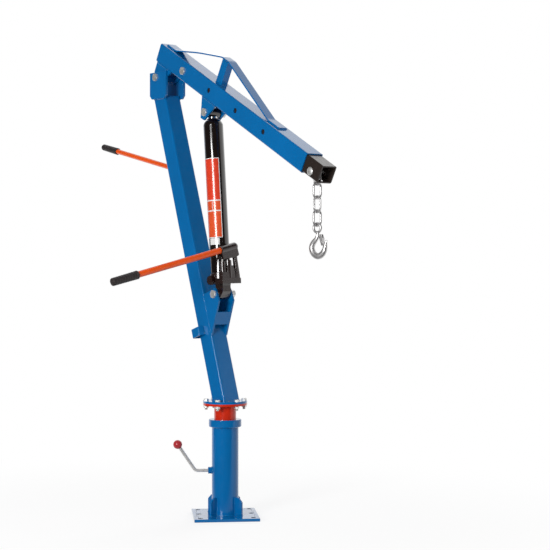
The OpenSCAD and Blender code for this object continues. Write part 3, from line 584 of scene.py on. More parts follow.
finish_tube(extension_tube, "extension", "black_paint", "extension_tube")

# ---------- bolts ----------

HEX_SIDES = 48  # a multiple of six
HEX_FACE = 0.475  # radius of the turned face over the width across flats
HEX_SLOPE = tan(radians(28))


def hexagon(shape, origin, axis, flats, h0, h1, top=True, bottom=False):
    """Hexagon with the corners turned off on one or both faces."""
    axis, u, v = frame_of(axis)
    face = flats * HEX_FACE

    def ring(height, limit=None):
        points = []
        for a in whole_turn(HEX_SIDES):
            corner = flats / 2 / cos((a % (pi / 3)) - pi / 6)
            r = limit or corner
            h = height(corner) if callable(height) else height
            points.append(origin + (axis * h + polar(u, v, a) * r) * MM)
        return points

    rings = []
    if bottom:
        rings.append(ring(h0, face))
        rings.append(ring(lambda c: h0 + (c - face) * HEX_SLOPE))
    else:
        rings.append(ring(h0))
    if top:
        rings.append(ring(lambda c: h1 - (c - face) * HEX_SLOPE))
        rings.append(ring(h1, face))
    else:
        rings.append(ring(h1))
    shape.skin(rings)


THREAD_SIDES = 30
THREAD_STEPS = 7  # rings in one turn
THREAD_DEPTH = 0.55  # over the pitch


def thread(shape, origin, axis, diameter, h0, h1, pitch):
    """Threaded end of a bolt with a turned-off tip."""
    axis, u, v = frame_of(axis)
    depth = pitch * THREAD_DEPTH
    steps = max(int((h1 - h0) / pitch * THREAD_STEPS), 6)
    rings = []
    for i in range(steps + 1):
        h = h0 + (h1 - h0) * i / steps
        ring = []
        for a in whole_turn(THREAD_SIDES):
            phase = 2 * pi * h / pitch - a
            r = diameter / 2 - depth * (0.5 - 0.5 * cos(phase))
            r = min(r, diameter / 2 - depth + (h1 - h))
            ring.append(origin + (axis * h + polar(u, v, a) * r) * MM)
        rings.append(ring)
    shape.skin(rings)


def washer(shape, origin, axis, diameter, hole, h0, h1):
    """Flat washer with broken outer edges."""
    edge = 0.4
    r = diameter / 2
    shape.turned([
        (hole / 2, h0), (r - edge, h0), (r, h0 + edge), (r, h1 - edge), (r - edge, h1), (hole / 2, h1),
    ], origin, axis)


BOLT_D, BOLT_PITCH, BOLT_FLATS, NUT_H = 20.0, 2.5, 30.0, 16.0  # the cross bolts
SMALL_D, SMALL_PITCH, SMALL_FLATS, SMALL_NUT_H = 12.0, 1.75, 18.0, 10.0
HEAD_H = 8.0
WASHER_T = 3.0
WASHER_D = 36.0
BOLT_END = 5.0  # thread past a nut
BOLT_SHARP = 28.0  # degrees above which an edge of a bolt is crisp


def finish_bolt(node, shape, body):
    """Zinc-plated bolt in place of a CAD bolt, with crisp edges."""
    obj = make_object(f"{node}_threaded", shape)
    add_piece(obj, body, "zinc_plate", (node,), sharp=BOLT_SHARP)
    flatten_shading(obj)


def cross_bolt(node, body, gap=None):
    """Bolt along Y in place of a CAD bolt; gap is the half width left open in its middle."""
    low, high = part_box(node)
    middle = (low + high) / 2
    middle.y = 0.0
    half = -low.y / MM - HEAD_H
    nut = half + WASHER_T
    shape = Shape()
    hexagon(shape, middle, -EY, BOLT_FLATS, half, half + HEAD_H)
    washer(shape, middle, EY, WASHER_D, BOLT_D, half, nut)
    hexagon(shape, middle, EY, BOLT_FLATS, nut, nut + NUT_H, bottom=True)
    r = BOLT_D / 2
    if gap is None:
        shape.turned([(r, -half - 1), (r, nut + 2)], middle, EY)
    else:
        shape.turned([(r, -half - 1), (r, -gap - 1), (r - 1, -gap)], middle, EY)
        shape.turned([(r - 1, gap), (r, gap + 1), (r, nut + 2)], middle, EY)
    thread(shape, middle, EY, BOLT_D, nut + 1, nut + NUT_H + BOLT_END, BOLT_PITCH)
    finish_bolt(node, shape, body)


cross_bolt("hinge_bolt", "mast")
cross_bolt("jack_foot_bolt", "mast")
cross_bolt("lock_bolt", "boom")
cross_bolt("lug_bolts", "boom", gap=32.0)

# Radius and height of the chain bolt's round head, from its rim to its crown
DOME = [
    (16.0, 0.0), (16.0, 1.6), (15.4, 2.6), (13.5, 3.9), (10.5, 5.0), (6.5, 5.7), (2.5, 6.0),
    (0.01, 6.0),
]
CHAIN_WASHER_D = 32.0


def chain_bolt():
    """Domed round head on the near side, washer and nut on the far side."""
    half = EXT_SIDE / 2
    nut = half + WASHER_T
    r = SMALL_D / 2
    shape = Shape()
    shape.turned([(0.01, half)] + [(x, half + h) for x, h in DOME], chain_pin, -EY, caps=False)
    washer(shape, chain_pin, EY, CHAIN_WASHER_D, SMALL_D, half, nut)
    hexagon(shape, chain_pin, EY, SMALL_FLATS, nut, nut + SMALL_NUT_H, bottom=True)
    shape.turned([(r, -half - 1), (r, nut + 2)], chain_pin, EY)
    thread(shape, chain_pin, EY, SMALL_D, nut + 1, nut + SMALL_NUT_H + BOLT_END, SMALL_PITCH)
    finish_bolt("chain_bolt", shape, "extension")


chain_bolt()

FLANGE_PCD = 154.0
FLANGE_T = 9.0
FLANGE_BOLTS = 6
FLANGE_BOLT_TIP = 18.0  # below the lower flange


def flange_bolts():
    """Ring of bolts through both flanges: heads above, nuts below."""
    flange_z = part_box("mast_flange")[0].z / MM - FLANGE_T
    top = 2 * FLANGE_T
    r = SMALL_D / 2
    shape = Shape()
    for i in range(FLANGE_BOLTS):
        a = radians(360 / FLANGE_BOLTS * i)
        spot = Vector((cos(a), sin(a), 0.0)) * FLANGE_PCD / 2 * MM
        origin = spot + Vector((0.0, 0.0, flange_z * MM))
        hexagon(shape, origin, EZ, SMALL_FLATS, top, top + HEAD_H)
        hexagon(shape, origin, EZ, SMALL_FLATS, -SMALL_NUT_H, 0.0, top=True, bottom=True)
        shape.turned([(r, 1 - SMALL_NUT_H), (r, top + 1)], origin, EZ, sides=32)
        thread(shape, origin, -EZ, SMALL_D, SMALL_NUT_H - 1, FLANGE_BOLT_TIP, SMALL_PITCH)
    finish_bolt("flange_bolts", shape, "mast")


flange_bolts()

# ---------- chain ----------

LINK_D = 8.0
LINK_LENGTH, LINK_WIDTH = 51.5, 27.0  # inside of a link
LINK_COUNT = 4
LINK_ARC, LINK_RUN = 22, 14  # points round an end, along a side
# A butt weld's burr and the dip beside it: height over the wire's radius, distance and width
LINK_WELD = [(0.09, 0.0, 2.2), (-0.03, 4.5, 1.5)]


def link_path():
    """Middle line of a link round from one side, in millimetres below its upper bend."""
    bend = (LINK_WIDTH + LINK_D) / 2
    straight = LINK_LENGTH - LINK_WIDTH
    half = [
        (bend * cos(pi * k / LINK_ARC), bend * sin(pi * k / LINK_ARC)) for k in range(LINK_ARC)
    ]
    half += [(-bend, -straight * k / LINK_RUN) for k in range(LINK_RUN)]
    return half + [(-x, -straight - z) for x, z in half]


def chain_links():
    """Links with the swell and the burr of their butt weld."""
    low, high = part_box("chain_links")
    x = chain_pin.x
    top = high.z / MM - LINK_D
    step = ((high.z - low.z) / MM - LINK_LENGTH - 2 * LINK_D) / (LINK_COUNT - 1)
    path = link_path()
    weld = path[LINK_ARC + LINK_RUN // 2]
    shape = Shape()
    for i in range(LINK_COUNT):
        points, radii = [], []
        for px, pz in path:
            z = (top - i * step - LINK_WIDTH / 2 + pz) * MM
            points.append(Vector((x, px * MM, z) if i % 2 else (x + px * MM, 0.0, z)))
            away = dist((px, pz), weld)
            swell = sum(h * exp(-(((away - at) / wide) ** 2)) for h, at, wide in LINK_WELD)
            radii.append(LINK_D / 2 * MM * (1.0 + swell))
        shape.sweep(points, radii, 18, closed=True)
    obj = make_object("chain_links_welded", shape)
    add_piece(obj, "chain", "galvanised", ("chain_links",), sharp=0)


chain_links()

# ---------- hook ----------

HOOK_TWIST = radians(12.0)
EYE_MIDDLE = 16.5
EYE_WIRE = 5.0
HOOK_FLAT = 0.85  # thickness of the hook over its width
# Middle line of the hook below its eye: ahead, up and half width
HOOK_CURVE = [
    (1, -18.5, 6), (1.5, -27, 6.6), (-1, -35, 7.8), (-6, -43, 9), (-13, -50, 10.2),
    (-20, -58, 11), (-24.6, -68, 11.4), (-25.2, -79, 11.8), (-21, -90, 12.2),
    (-12, -99.5, 12.4), (0, -105, 12.4), (13, -103.5, 12.2), (24.5, -96, 11.8),
    (32.4, -85, 10.8), (36.2, -73, 9.2), (38.4, -62, 7.2), (41, -53, 4.8), (44, -45, 3),
]
LATCH_PIN = (17.0, -28.0)
BOSS_R, BOSS_HALF, WEB_R = 4.0, 5.0, 4.5  # boss round the latch's pin and its web to the shank
FORGE_VOXEL = 0.9
# Radius and height of the latch's rivet with its two domed heads
RIVET = [
    (0.01, -9.4), (1.6, -9.2), (2.9, -8.4), (3.2, -7.5), (1.6, -7.5), (1.6, 7.5), (3.2, 7.5),
    (2.9, 8.4), (1.6, 9.2), (0.01, 9.4),
]


def smooth_run(points, steps):
    """Catmull-Rom curve through the points."""
    out = []
    for i in range(len(points) - 1):
        p0, p1 = points[max(i - 1, 0)], points[i]
        p2, p3 = points[i + 1], points[min(i + 2, len(points) - 1)]
        for k in range(steps):
            t = k / steps
            out.append(tuple(
                0.5 * (2 * b + (c - a) * t + (2 * a - 5 * b + 4 * c - d) * t * t
                       + (3 * b - a - 3 * c + d) * t ** 3)
                for a, b, c, d in zip(p0, p1, p2, p3)
            ))
    out.append(tuple(points[-1]))
    return out


def forged_hook():
    """Hook blended from its eye, bowl and latch boss, like one forging."""
    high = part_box("hook")[1]
    eye = Vector((chain_pin.x, 0.0, high.z - (EYE_MIDDLE + EYE_WIRE) * MM))
    ahead = Vector((cos(HOOK_TWIST), sin(HOOK_TWIST), 0.0))
    across = Vector((-sin(HOOK_TWIST), cos(HOOK_TWIST), 0.0))

    def at(px, py, pz):
        return eye + (ahead * px + across * py + EZ * pz) * MM

    shape = Shape()
    ring = [at(EYE_MIDDLE * cos(a), 0.0, EYE_MIDDLE * sin(a)) for a in whole_turn(48)]
    shape.sweep(ring, [EYE_WIRE * MM] * len(ring), 16, closed=True)
    curve = smooth_run(HOOK_CURVE, 5)
    rings = []
    for i, (px, pz, r) in enumerate(curve):
        a = curve[max(i - 1, 0)]
        b = curve[min(i + 1, len(curve) - 1)]
        run = Vector((b[0] - a[0], b[1] - a[1])).normalized()
        side = Vector((-run.y, run.x))
        rings.append([
            at(px + side.x * r * cos(g), r * HOOK_FLAT * sin(g), pz + side.y * r * cos(g))
            for g in whole_turn(20)
        ])
    shape.skin(rings)
    pin = at(LATCH_PIN[0], 0.0, LATCH_PIN[1])
    shape.turned([(BOSS_R, -BOSS_HALF), (BOSS_R, BOSS_HALF)], pin, across, sides=24)
    web = [at(0, 0, LATCH_PIN[1]), at(LATCH_PIN[0], 0, LATCH_PIN[1])]
    shape.sweep(web, [WEB_R * MM] * 2, 12)
    obj = make_object("hook_forged", shape)
    join = obj.modifiers.new("join", "REMESH")
    join.mode = "VOXEL"
    join.voxel_size = FORGE_VOXEL * MM
    relax = obj.modifiers.new("relax", "SMOOTH")
    relax.factor = 0.5
    relax.iterations = 5
    apply_modifiers(obj)
    tidy_mesh(obj.data)
    add_piece(obj, "hook", "galvanised", ("hook",), sharp=0)

    rivet = Shape()
    rivet.turned(RIVET, pin, across, sides=24, caps=False)
    obj = make_object("latch_rivet", rivet)
    add_piece(obj, "hook", "zinc_plate", sharp=50.0)


forged_hook()

# ---------- brake rod ----------

COLUMN_R = 54.0
LEVER_Z = 188.0
LEVER_TURN = radians(PLATE_DEGREES + 180.0)
ROD_D = 14.0
ROD_START = 45.0  # the rod's inner end, from the column's axis
ROD_KNEE = COLUMN_R + 66.0
ROD_BEND = 20.0  # radius of its knee
ROD_LEAN = radians(56.0)
ROD_RISE = 127.0  # from its knee to the middle of the knob
IN_KNOB = 15.0


def brake_rod():
    """One smooth bent rod in place of the three solids of the CAD rod."""
    out = Vector((cos(LEVER_TURN), sin(LEVER_TURN), 0.0))
    lead = ROD_BEND * tan(ROD_LEAN / 2)
    path = [(ROD_START + 12.0 * i, 0.0) for i in range(6)]
    path += [
        (
            ROD_KNEE - lead + ROD_BEND * sin(ROD_LEAN * k / 14),
            ROD_BEND - ROD_BEND * cos(ROD_LEAN * k / 14),
        )
        for k in range(15)
    ]
    x, z = path[-1]
    length = ROD_RISE - lead - IN_KNOB
    path += [
        (x + cos(ROD_LEAN) * length * k / 6, z + sin(ROD_LEAN) * length * k / 6)
        for k in range(1, 7)
    ]
    points = [(out * x + EZ * (LEVER_Z + z)) * MM for x, z in path]
    shape = Shape()
    shape.sweep(points, [ROD_D / 2 * MM] * len(points), 28)
    obj = make_object("brake_rod_bent", shape)
    add_piece(obj, "brake_lever", "chrome_rod", ("brake_rod",), "rod_plate", sharp=50.0)


brake_rod()

# ---------- rubber grips ----------

GRIP_LEN = 116.0
GRIP_WALL = 4.0
GRIP_RIBS = 9
RIB_STEPS = 8
RIB_DEPTH = 1.0
GRIP_TAPER = 1.0
# Steps in from the outer radius and along: rolled mouth from its edge, domed end from the tube's
MOUTH = [(1.0, 0.0), (0.2, 0.8), (0.0, 2.0), (0.0, 5.0), (0.4, 6.0)]
DOMED_END = [(1.2, -2.5), (1.3, 0.5), (2.2, 2.4), (4.5, 3.6), (9.0, 4.0)]
RIBS_IN, RIBS_FROM, RIBS_TO = 1.1, 6.5, -4.0


def grip(name, node, body, origin, axis, tube_d):
    """Moulded grip: a rolled mouth, soft ribs and a domed end."""
    outer = tube_d / 2 + GRIP_WALL
    inner = tube_d / 2 + 0.2
    profile = [(0.01, 0.2), (inner, 0.2), (inner, -GRIP_LEN)]
    profile += [(outer - x, -GRIP_LEN + h) for x, h in MOUTH]
    start = -GRIP_LEN + RIBS_FROM
    steps = GRIP_RIBS * RIB_STEPS
    for i in range(steps + 1):
        taper = GRIP_TAPER * i / steps
        rib = abs(sin(pi * GRIP_RIBS * i / steps)) ** 0.5
        h = start + (RIBS_TO - start) * i / steps
        profile.append((outer - RIBS_IN - taper + RIB_DEPTH * rib, h))
    profile += [(outer - x, h) for x, h in DOMED_END]
    profile.append((0.01, DOMED_END[-1][1]))
    shape = Shape()
    shape.turned(profile, origin, axis, sides=48, caps=False)
    obj = make_object(name, shape)
    add_piece(obj, body, "grip_rubber", (node,), sharp=60.0)


STEER_Z = 1417.0
STEER_RISE = radians(12.4)
STEER_REACH = 562.0
STEER_D, PUMP_D = 22.0, 26.0  # the two handles' tubes
steer_start = mast_axes.at(-MAST_SIDE / 2, 0.0, mast_s(STEER_Z * MM, -MAST_SIDE / 2))
steer_dir = Vector((-cos(STEER_RISE), 0.0, sin(STEER_RISE)))
steer_end = steer_start + steer_dir * STEER_REACH * MM
grip("steer_grip_ribbed", "steer_grip", "mast", steer_end, steer_dir, STEER_D)

PUMP_AT = (64.0, 26.0, 158.0)
PUMP_DROOP = radians(13.2)
PUMP_REACH = 594.0
SOCKET_RISE = 28.0
pump_dir = -jack_axes.y * cos(PUMP_DROOP) - jack_axes.z * sin(PUMP_DROOP)
pump_up = -jack_axes.y * sin(PUMP_DROOP) + jack_axes.z * cos(PUMP_DROOP)
pump_end = jack_axes.at(*PUMP_AT) + (pump_dir * PUMP_REACH + pump_up * SOCKET_RISE) * MM
grip("pump_grip_ribbed", "pump_grip", "pump_handle", pump_end, pump_dir, PUMP_D)

# ---------- blank labels on the jack ----------

JACK_R = 40.0
LABEL_THICK = 0.15


def wrap(shape, radius, a0, a1, h0, h1):
    """Thin curved sheet round the jack between two angles and two heights."""
    count = max(int(abs(a1 - a0) / 3), 2)
    grid = []
    for h in (h0, h1):
        for r in (radius, radius - LABEL_THICK):
            row = []
            for k in range(count + 1):
                a = radians(a0 + (a1 - a0) * k / count)
                row.append(jack_axes.at(r * cos(a), r * sin(a), h))
            grid.append(row)
    shape.skin([
        [grid[0][k], grid[2][k], grid[3][k], grid[1][k]] for k in range(count + 1)
    ])


LABEL_A0, LABEL_A1 = -14.0, -135.0
LABEL_LOW, LABEL_HIGH = 226.0, 549.0
LABEL_RIM = 3.0
RIM_ANGLE = degrees(LABEL_RIM / JACK_R)
SHEET_R, PRINT_R = JACK_R + 0.2, JACK_R + 0.35
SMALL_A0, SMALL_A1, SMALL_LOW = -34.0, -97.0, 198.0
# Edges of the printed fields, as shares of the label's height from its top
RED_LOW, PAIR_HIGH, PAIR_LOW, LAST_HIGH = 0.525, 0.54, 0.655, 0.67
PAIR_SHIFT = 8.0  # degrees from the label's middle to the pair's parting


def labels():
    """White sheets with blank printed fields: a red one, a pair and a last one in orange."""
    sheet = Shape()
    wrap(sheet, SHEET_R, LABEL_A0, LABEL_A1, LABEL_LOW, LABEL_HIGH)
    add_piece(make_object("jack_label_sheet", sheet), "jack", None, look="label_white")
    small = Shape()
    wrap(small, SHEET_R, SMALL_A0, SMALL_A1, SMALL_LOW, LABEL_LOW - LABEL_RIM / 2)
    add_piece(make_object("jack_label_small", small), "jack", None, look="label_white")
    height = LABEL_HIGH - LABEL_LOW
    near, far = LABEL_A0 - RIM_ANGLE, LABEL_A1 + RIM_ANGLE
    middle = (near + far) / 2 + PAIR_SHIFT
    gap = RIM_ANGLE * 0.35

    def level(share):
        return LABEL_HIGH - height * share

    red = Shape()
    wrap(red, PRINT_R, near, far, level(RED_LOW), LABEL_HIGH - LABEL_RIM)
    orange = Shape()
    for a0, a1 in ((near, middle + gap), (middle - gap, far)):
        wrap(orange, PRINT_R, a0, a1, level(PAIR_LOW), level(PAIR_HIGH))
    wrap(orange, PRINT_R, near, far, LABEL_LOW + LABEL_RIM, level(LAST_HIGH))
    add_piece(make_object("jack_label_red", red), "jack", None, look="label_red")
    add_piece(make_object("jack_label_orange", orange), "jack", None, look="label_orange")


labels()

# ---------- weld beads ----------

RIPPLE = 3.4  # length of one ripple
BEAD_STEP = 0.85  # length of one ring of the sweep
wobble = random.Random(7)


def bead(shape, corners, radius=2.8, closed=False):
    """Rippled weld bead along a line of corners, in metres."""
    path = list(corners) + ([corners[0]] if closed else [])
    points = []
    for a, b in zip(path, path[1:]):
        count = max(int((b - a).length / (BEAD_STEP * MM)), 1)
        points += [a.lerp(b, k / count) for k in range(count)]
    if not closed:
        points.append(path[-1])
    radii = []
    drift = 0.0
    for i in range(len(points)):
        drift = drift * 0.9 + wobble.uniform(-0.02, 0.02)
        saw = (i * BEAD_STEP / RIPPLE) % 1.0
        radii.append(radius * MM * (0.95 + 0.13 * saw + drift))
    shape.sweep(points, radii, 10, closed=closed)


def circle(middle, u, v, radius, count=96):
    return [middle + polar(u, v, a) * radius * MM for a in whole_turn(count)]


PLATE_T, COLUMN_TOP = 12.0, 364.0
GUSSET_REACH, GUSSET_HALF, GUSSET_TOP = 89.0, 4.0, 83.0
# Radii of the rings of weld round the brake boss, the spigot and the steering stud
BOSS_BEAD, SPIGOT_BEAD, STUD_BEAD = 13.5, 44.5, 8.6
# Ends up the mast of the beads beside the jack's fork and the handle holder
FORK_Z, HOLDER_Z = (261.0, 436.0), (277.0, 312.0)


def column_beads():
    """Beads of the column, its gussets and its brake boss."""
    shape = Shape()
    bead(shape, circle(EZ * PLATE_T * MM, EX, EY, COLUMN_R), 3.0, True)
    bead(shape, circle(EZ * COLUMN_TOP * MM, EX, EY, COLUMN_R), 2.6, True)
    root, tip = COLUMN_R - 1, GUSSET_REACH - 1
    for i in range(4):
        a = radians(PLATE_DEGREES + 45.0 + 90.0 * i)
        out = Vector((cos(a), sin(a), 0.0))
        side = Vector((-sin(a), cos(a), 0.0))
        for s in (-1, 1):
            foot = side * s * GUSSET_HALF
            bead(shape, [
                (out * root + foot + EZ * GUSSET_TOP) * MM, (out * root + foot + EZ * PLATE_T) * MM,
                (out * tip + foot + EZ * PLATE_T) * MM,
            ], 2.6)
        bead(shape, [
            (out * GUSSET_REACH + side * w + EZ * PLATE_T) * MM for w in (-GUSSET_HALF, GUSSET_HALF)
        ], 2.6)
    out = Vector((cos(LEVER_TURN), sin(LEVER_TURN), 0.0))
    side = Vector((-sin(LEVER_TURN), cos(LEVER_TURN), 0.0))
    ring = []
    for a in whole_turn(48):
        y = BOSS_BEAD * cos(a)
        x = sqrt(COLUMN_R ** 2 - y * y)
        ring.append((out * x + side * y + EZ * (LEVER_Z + BOSS_BEAD * sin(a))) * MM)
    bead(shape, ring, 2.0, True)
    add_piece(make_object("column_welds", shape), "base", "blue_paint", sharp=0)


def mast_beads():
    """Beads of the mast's foot, cheeks, jack fork, handle holder and stud, and the spigot's."""
    shape = Shape()
    foot = mast_end(mast_low.z)
    bead(shape, [foot(u, v) for u, v in rounded_square(MAST_SIDE, TUBE_CORNER)], 3.0, True)
    cheek_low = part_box("hinge_cheeks")[0].z
    for s in (-1, 1):
        y = s * MAST_SIDE / 2
        top = y - s * 1.5
        bead(shape, [mast_axes.at(u, y, mast_s(cheek_low, u)) for u in (-36.0, 36.0)], 2.8)
        bead(shape, [mast_axes.at(u, top, mast_s(mast_high.z, u)) for u in (-34.0, 34.0)], 2.4)
        bead(shape, [mast_axes.at(38.8, s * 38.6, z) for z in FORK_Z], 2.6)
    for u, v in ((3.0, -40.0), (-3.5, -40.0), (-40.0, -21.0), (-40.0, -27.0)):
        bead(shape, [mast_axes.at(u, v, z) for z in HOLDER_Z], 1.6)
    bead(shape, circle(steer_start, mast_axes.z, mast_axes.y, STUD_BEAD), 2.2, True)
    add_piece(make_object("mast_welds", shape), "mast", "blue_paint", sharp=0)
    ring = Shape()
    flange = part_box("mast_flange")[0].z - FLANGE_T * MM
    bead(ring, circle(EZ * flange, EX, EY, SPIGOT_BEAD), 2.8, True)
    add_piece(make_object("spigot_weld", ring), "mast", "red_paint", sharp=0)


# First and last distance along the boom, half width, and whether the bead goes all round
BOOM_TOP_BEADS = [(36, -26, 20, False), (750, 817, 20, False), (354, 394, 15, True)]


def boom_beads():
    """Beads of the root and lug plates below the boom and of the strap and its post above."""
    shape = Shape()
    for s in (-1, 1):
        bead(shape, [boom_axes.at(x, s * 38.2, BOOM_LOW + 0.3) for x in (-35.0, 78.0)], 2.8)
        bead(shape, [boom_axes.at(x, s * 38.4, BOOM_LOW + 0.3) for x in (328.0, 425.0)], 2.8)
    for x0, x1, half, closed in BOOM_TOP_BEADS:
        corners = ((x0, -half), (x1, -half), (x1, half), (x0, half))
        bead(shape, [boom_axes.at(x, y, BOOM_HIGH) for x, y in corners], 2.4, closed)
    add_piece(make_object("boom_welds", shape), "boom", "blue_paint", sharp=0)


column_beads()
mast_beads()
boom_beads()

# ---------- camera ----------

VIEW_ANGLE = 51.1
VIEW_PITCH = -0.7
SENSOR = 36.0
FOCAL_PX = 1505.1
FRAME_PX = 550
CAMERA_AT = Vector((4.8400, -3.6472, 1.048))

camera_data = bpy.data.cameras.new("camera")
camera_data.sensor_width = SENSOR
camera_data.lens = SENSOR * FOCAL_PX / FRAME_PX
camera = bpy.data.objects.new("camera", camera_data)
bpy.context.scene.collection.objects.link(camera)
camera.location = CAMERA_AT
turn = radians(VIEW_ANGLE)
pitch = radians(VIEW_PITCH)
look = Vector((-sin(turn) * cos(pitch), cos(turn) * cos(pitch), sin(pitch)))
camera.rotation_euler = look.to_track_quat("-Z", "Y").to_euler()
bpy.context.scene.camera = camera

# ---------- studio ----------
# Gloss sees a dark room towards the key light. Its limits say how far a direction points there.

KEY_SIDE = Vector((0.392, -0.920, 0.0))  # level direction of the key light and of the dark room
DARK_ROOM = 0.05  # what gloss shows there, against 1 for white
BACKDROP_END = Vector((1.0, 0.0, 1.0))  # the white backdrop ends high up on this side
FLOOR_PALE = 0.5  # what the floor sends back to the object
FLOOR_FAINT, FLOOR_GLOW = 0.26, 0.78  # what the camera sees of it: a faint shadow on a glow
SKY_LIGHT = 0.42


def any_of(tree, *outputs):
    """1 where any of the outputs is 1."""
    result = outputs[0]
    for other in outputs[1:]:
        node = tree.nodes.new("ShaderNodeMath")
        node.operation = "MAXIMUM"
        tree.links.new(result, node.inputs[0])
        tree.links.new(other, node.inputs[1])
        result = node.outputs[0]
    return result


def grey(level):
    return (level, level, level, 1.0)


def shader(tree, kind, **values):
    """Shader node with some of its inputs set."""
    node = tree.nodes.new(kind)
    set_inputs(node, **values)
    return node


def mixed(tree, factor, first, second):
    """Mix of two shaders: the first one at 0, the second one at 1."""
    node = tree.nodes.new("ShaderNodeMixShader")
    for value, socket in zip((factor, first, second), node.inputs):
        tree.links.new(value, socket)
    return node.outputs[0]


def map_range(tree, value, from_low, from_high, to_low, to_high):
    node = tree.nodes.new("ShaderNodeMapRange")
    node.interpolation_type = "SMOOTHSTEP"
    set_inputs(node, From_Min=from_low, From_Max=from_high, To_Min=to_low, To_Max=to_high)
    tree.links.new(value, node.inputs["Value"])
    return node.outputs[0]


def along(tree, vector, way=KEY_SIDE):
    """How far a vector points along a way, by default towards the key light."""
    node = tree.nodes.new("ShaderNodeVectorMath")
    node.operation = "DOT_PRODUCT"
    node.inputs[1].default_value = way
    tree.links.new(vector, node.inputs[0])
    return node.outputs["Value"]


def plate_distance(tree, place):
    """Distance from the middle of the base plate, measured square to its sides."""
    sides = []
    for way in PLATE_WAYS:
        node = tree.nodes.new("ShaderNodeMath")
        node.operation = "ABSOLUTE"
        tree.links.new(along(tree, place, way), node.inputs[0])
        sides.append(node.outputs[0])
    return any_of(tree, *sides)


def floor_material():
    """Pale floor that fades to white away from the object and keeps its shadow."""
    material = bpy.data.materials.new("floor_white")
    material.use_nodes = True
    tree = material.node_tree
    tree.nodes.clear()
    out = tree.nodes.new("ShaderNodeOutputMaterial")
    place = tree.nodes.new("ShaderNodeTexCoord").outputs["Object"]
    rays = tree.nodes.new("ShaderNodeLightPath").outputs
    pale = shader(tree, "ShaderNodeBsdfDiffuse", Color=grey(FLOOR_PALE))
    faint = shader(tree, "ShaderNodeBsdfDiffuse", Color=grey(FLOOR_FAINT))
    glow = shader(tree, "ShaderNodeEmission")
    beside = plate_distance(tree, place)
    tree.links.new(
        map_range(tree, beside, PLATE_HALF - 0.012, PLATE_HALF, 0.0, FLOOR_GLOW),
        glow.inputs["Strength"],
    )
    both = tree.nodes.new("ShaderNodeAddShader")
    tree.links.new(faint.outputs[0], both.inputs[0])
    tree.links.new(glow.outputs[0], both.inputs[1])
    white = shader(tree, "ShaderNodeEmission", Strength=1.0)
    length = tree.nodes.new("ShaderNodeVectorMath")
    length.operation = "LENGTH"
    tree.links.new(place, length.inputs[0])
    fade = map_range(tree, length.outputs["Value"], 0.7, 2.0, 0.0, 1.0)
    seen = mixed(tree, fade, both.outputs[0], white.outputs[0])
    mirror = shader(tree, "ShaderNodeEmission")
    behind = map_range(tree, along(tree, place), -0.1, 0.5, 1.0, DARK_ROOM)
    tree.links.new(behind, mirror.inputs["Strength"])
    gloss = any_of(tree, rays["Is Glossy Ray"], rays["Is Transmission Ray"])
    unseen = mixed(tree, gloss, pale.outputs[0], mirror.outputs[0])
    show = mixed(tree, rays["Is Camera Ray"], unseen, seen)
    tree.links.new(show, out.inputs["Surface"])
    return material


FLOOR_HALF = 12.0
ground = Shape()
ground.verts = [
    Vector((x * FLOOR_HALF, y * FLOOR_HALF, 0)) for x, y in ((-1, -1), (1, -1), (1, 1), (-1, 1))
]
ground.faces = [(0, 1, 2, 3)]
floor = make_object("floor", ground, smooth=False)
floor.location.z = -0.0005  # just under the plate
floor.data.materials.append(floor_material())

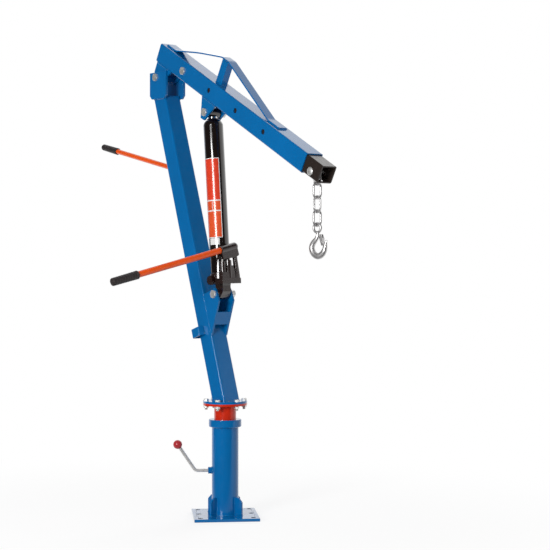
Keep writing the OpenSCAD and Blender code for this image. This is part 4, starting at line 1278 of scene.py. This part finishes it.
world = bpy.data.worlds.new("studio")
bpy.context.scene.world = world
world.use_nodes = True
sky = world.node_tree
sky.nodes.clear()
sky_out = sky.nodes.new("ShaderNodeOutputWorld")
direction = sky.nodes.new("ShaderNodeTexCoord").outputs["Generated"]
sky_rays = sky.nodes.new("ShaderNodeLightPath").outputs
soft = shader(sky, "ShaderNodeBackground", Color=grey(1.0), Strength=SKY_LIGHT)
white = shader(sky, "ShaderNodeBackground", Color=grey(1.0), Strength=1.0)
mirror = shader(sky, "ShaderNodeBackground", Color=grey(1.0))
room = sky.nodes.new("ShaderNodeMath")
room.operation = "MINIMUM"
sky.links.new(map_range(sky, along(sky, direction), -0.32, -0.12, 1.0, DARK_ROOM), room.inputs[0])
sky.links.new(
    map_range(sky, along(sky, direction, BACKDROP_END), 1.095, 1.122, 1.0, DARK_ROOM), room.inputs[1]
)
sky.links.new(room.outputs[0], mirror.inputs["Strength"])
gloss = any_of(sky, sky_rays["Is Glossy Ray"], sky_rays["Is Transmission Ray"])
shown = mixed(sky, gloss, soft.outputs[0], mirror.outputs[0])
final = mixed(sky, sky_rays["Is Camera Ray"], shown, white.outputs[0])
sky.links.new(final, sky_out.inputs["Surface"])


LAMP_AWAY = 5.0


def soft_box(name, aim, direction, distance, size, radiance):
    """Rectangular soft box of a given radiance, looking at aim from a direction."""
    data = bpy.data.lights.new(name, "AREA")
    data.shape = "RECTANGLE"
    data.size, data.size_y = size
    data.energy = radiance * pi * size[0] * size[1]
    obj = bpy.data.objects.new(name, data)
    bpy.context.scene.collection.objects.link(obj)
    toward = Vector(direction).normalized()
    obj.location = Vector(aim) + toward * distance
    obj.rotation_euler = (-toward).to_track_quat("-Z", "Y").to_euler()
    obj.visible_camera = False
    return obj


def key_box(name, height, size, radiance):
    """Soft box on the key side with its middle at a height."""
    aim = Vector((-0.1, 0.0, 1.1))
    rise = EZ * (height - aim.z)
    soft_box(name, aim, KEY_SIDE * LAMP_AWAY + rise, LAMP_AWAY, size, radiance)


# Sizes in metres; the last number is the radiance, against 1 for the white backdrop
key_box("key", 1.58, (1.5, 1.6), 20.0)
key_box("key_spill", 2.72, (1.5, 0.6), 1.4)
soft_box("overhead", (0.0, 0.0, 1.6), (-0.42, 0.63, 0.655), 3.0, (3.0, 3.0), 0.35)
fill = soft_box("back_fill", (0.0, 0.0, 1.1), (-0.35, 0.93, 0.12), LAMP_AWAY, (3.0, 3.0), 4.0)
fill.visible_glossy = False

bpy.context.scene.view_settings.view_transform = "Standard"
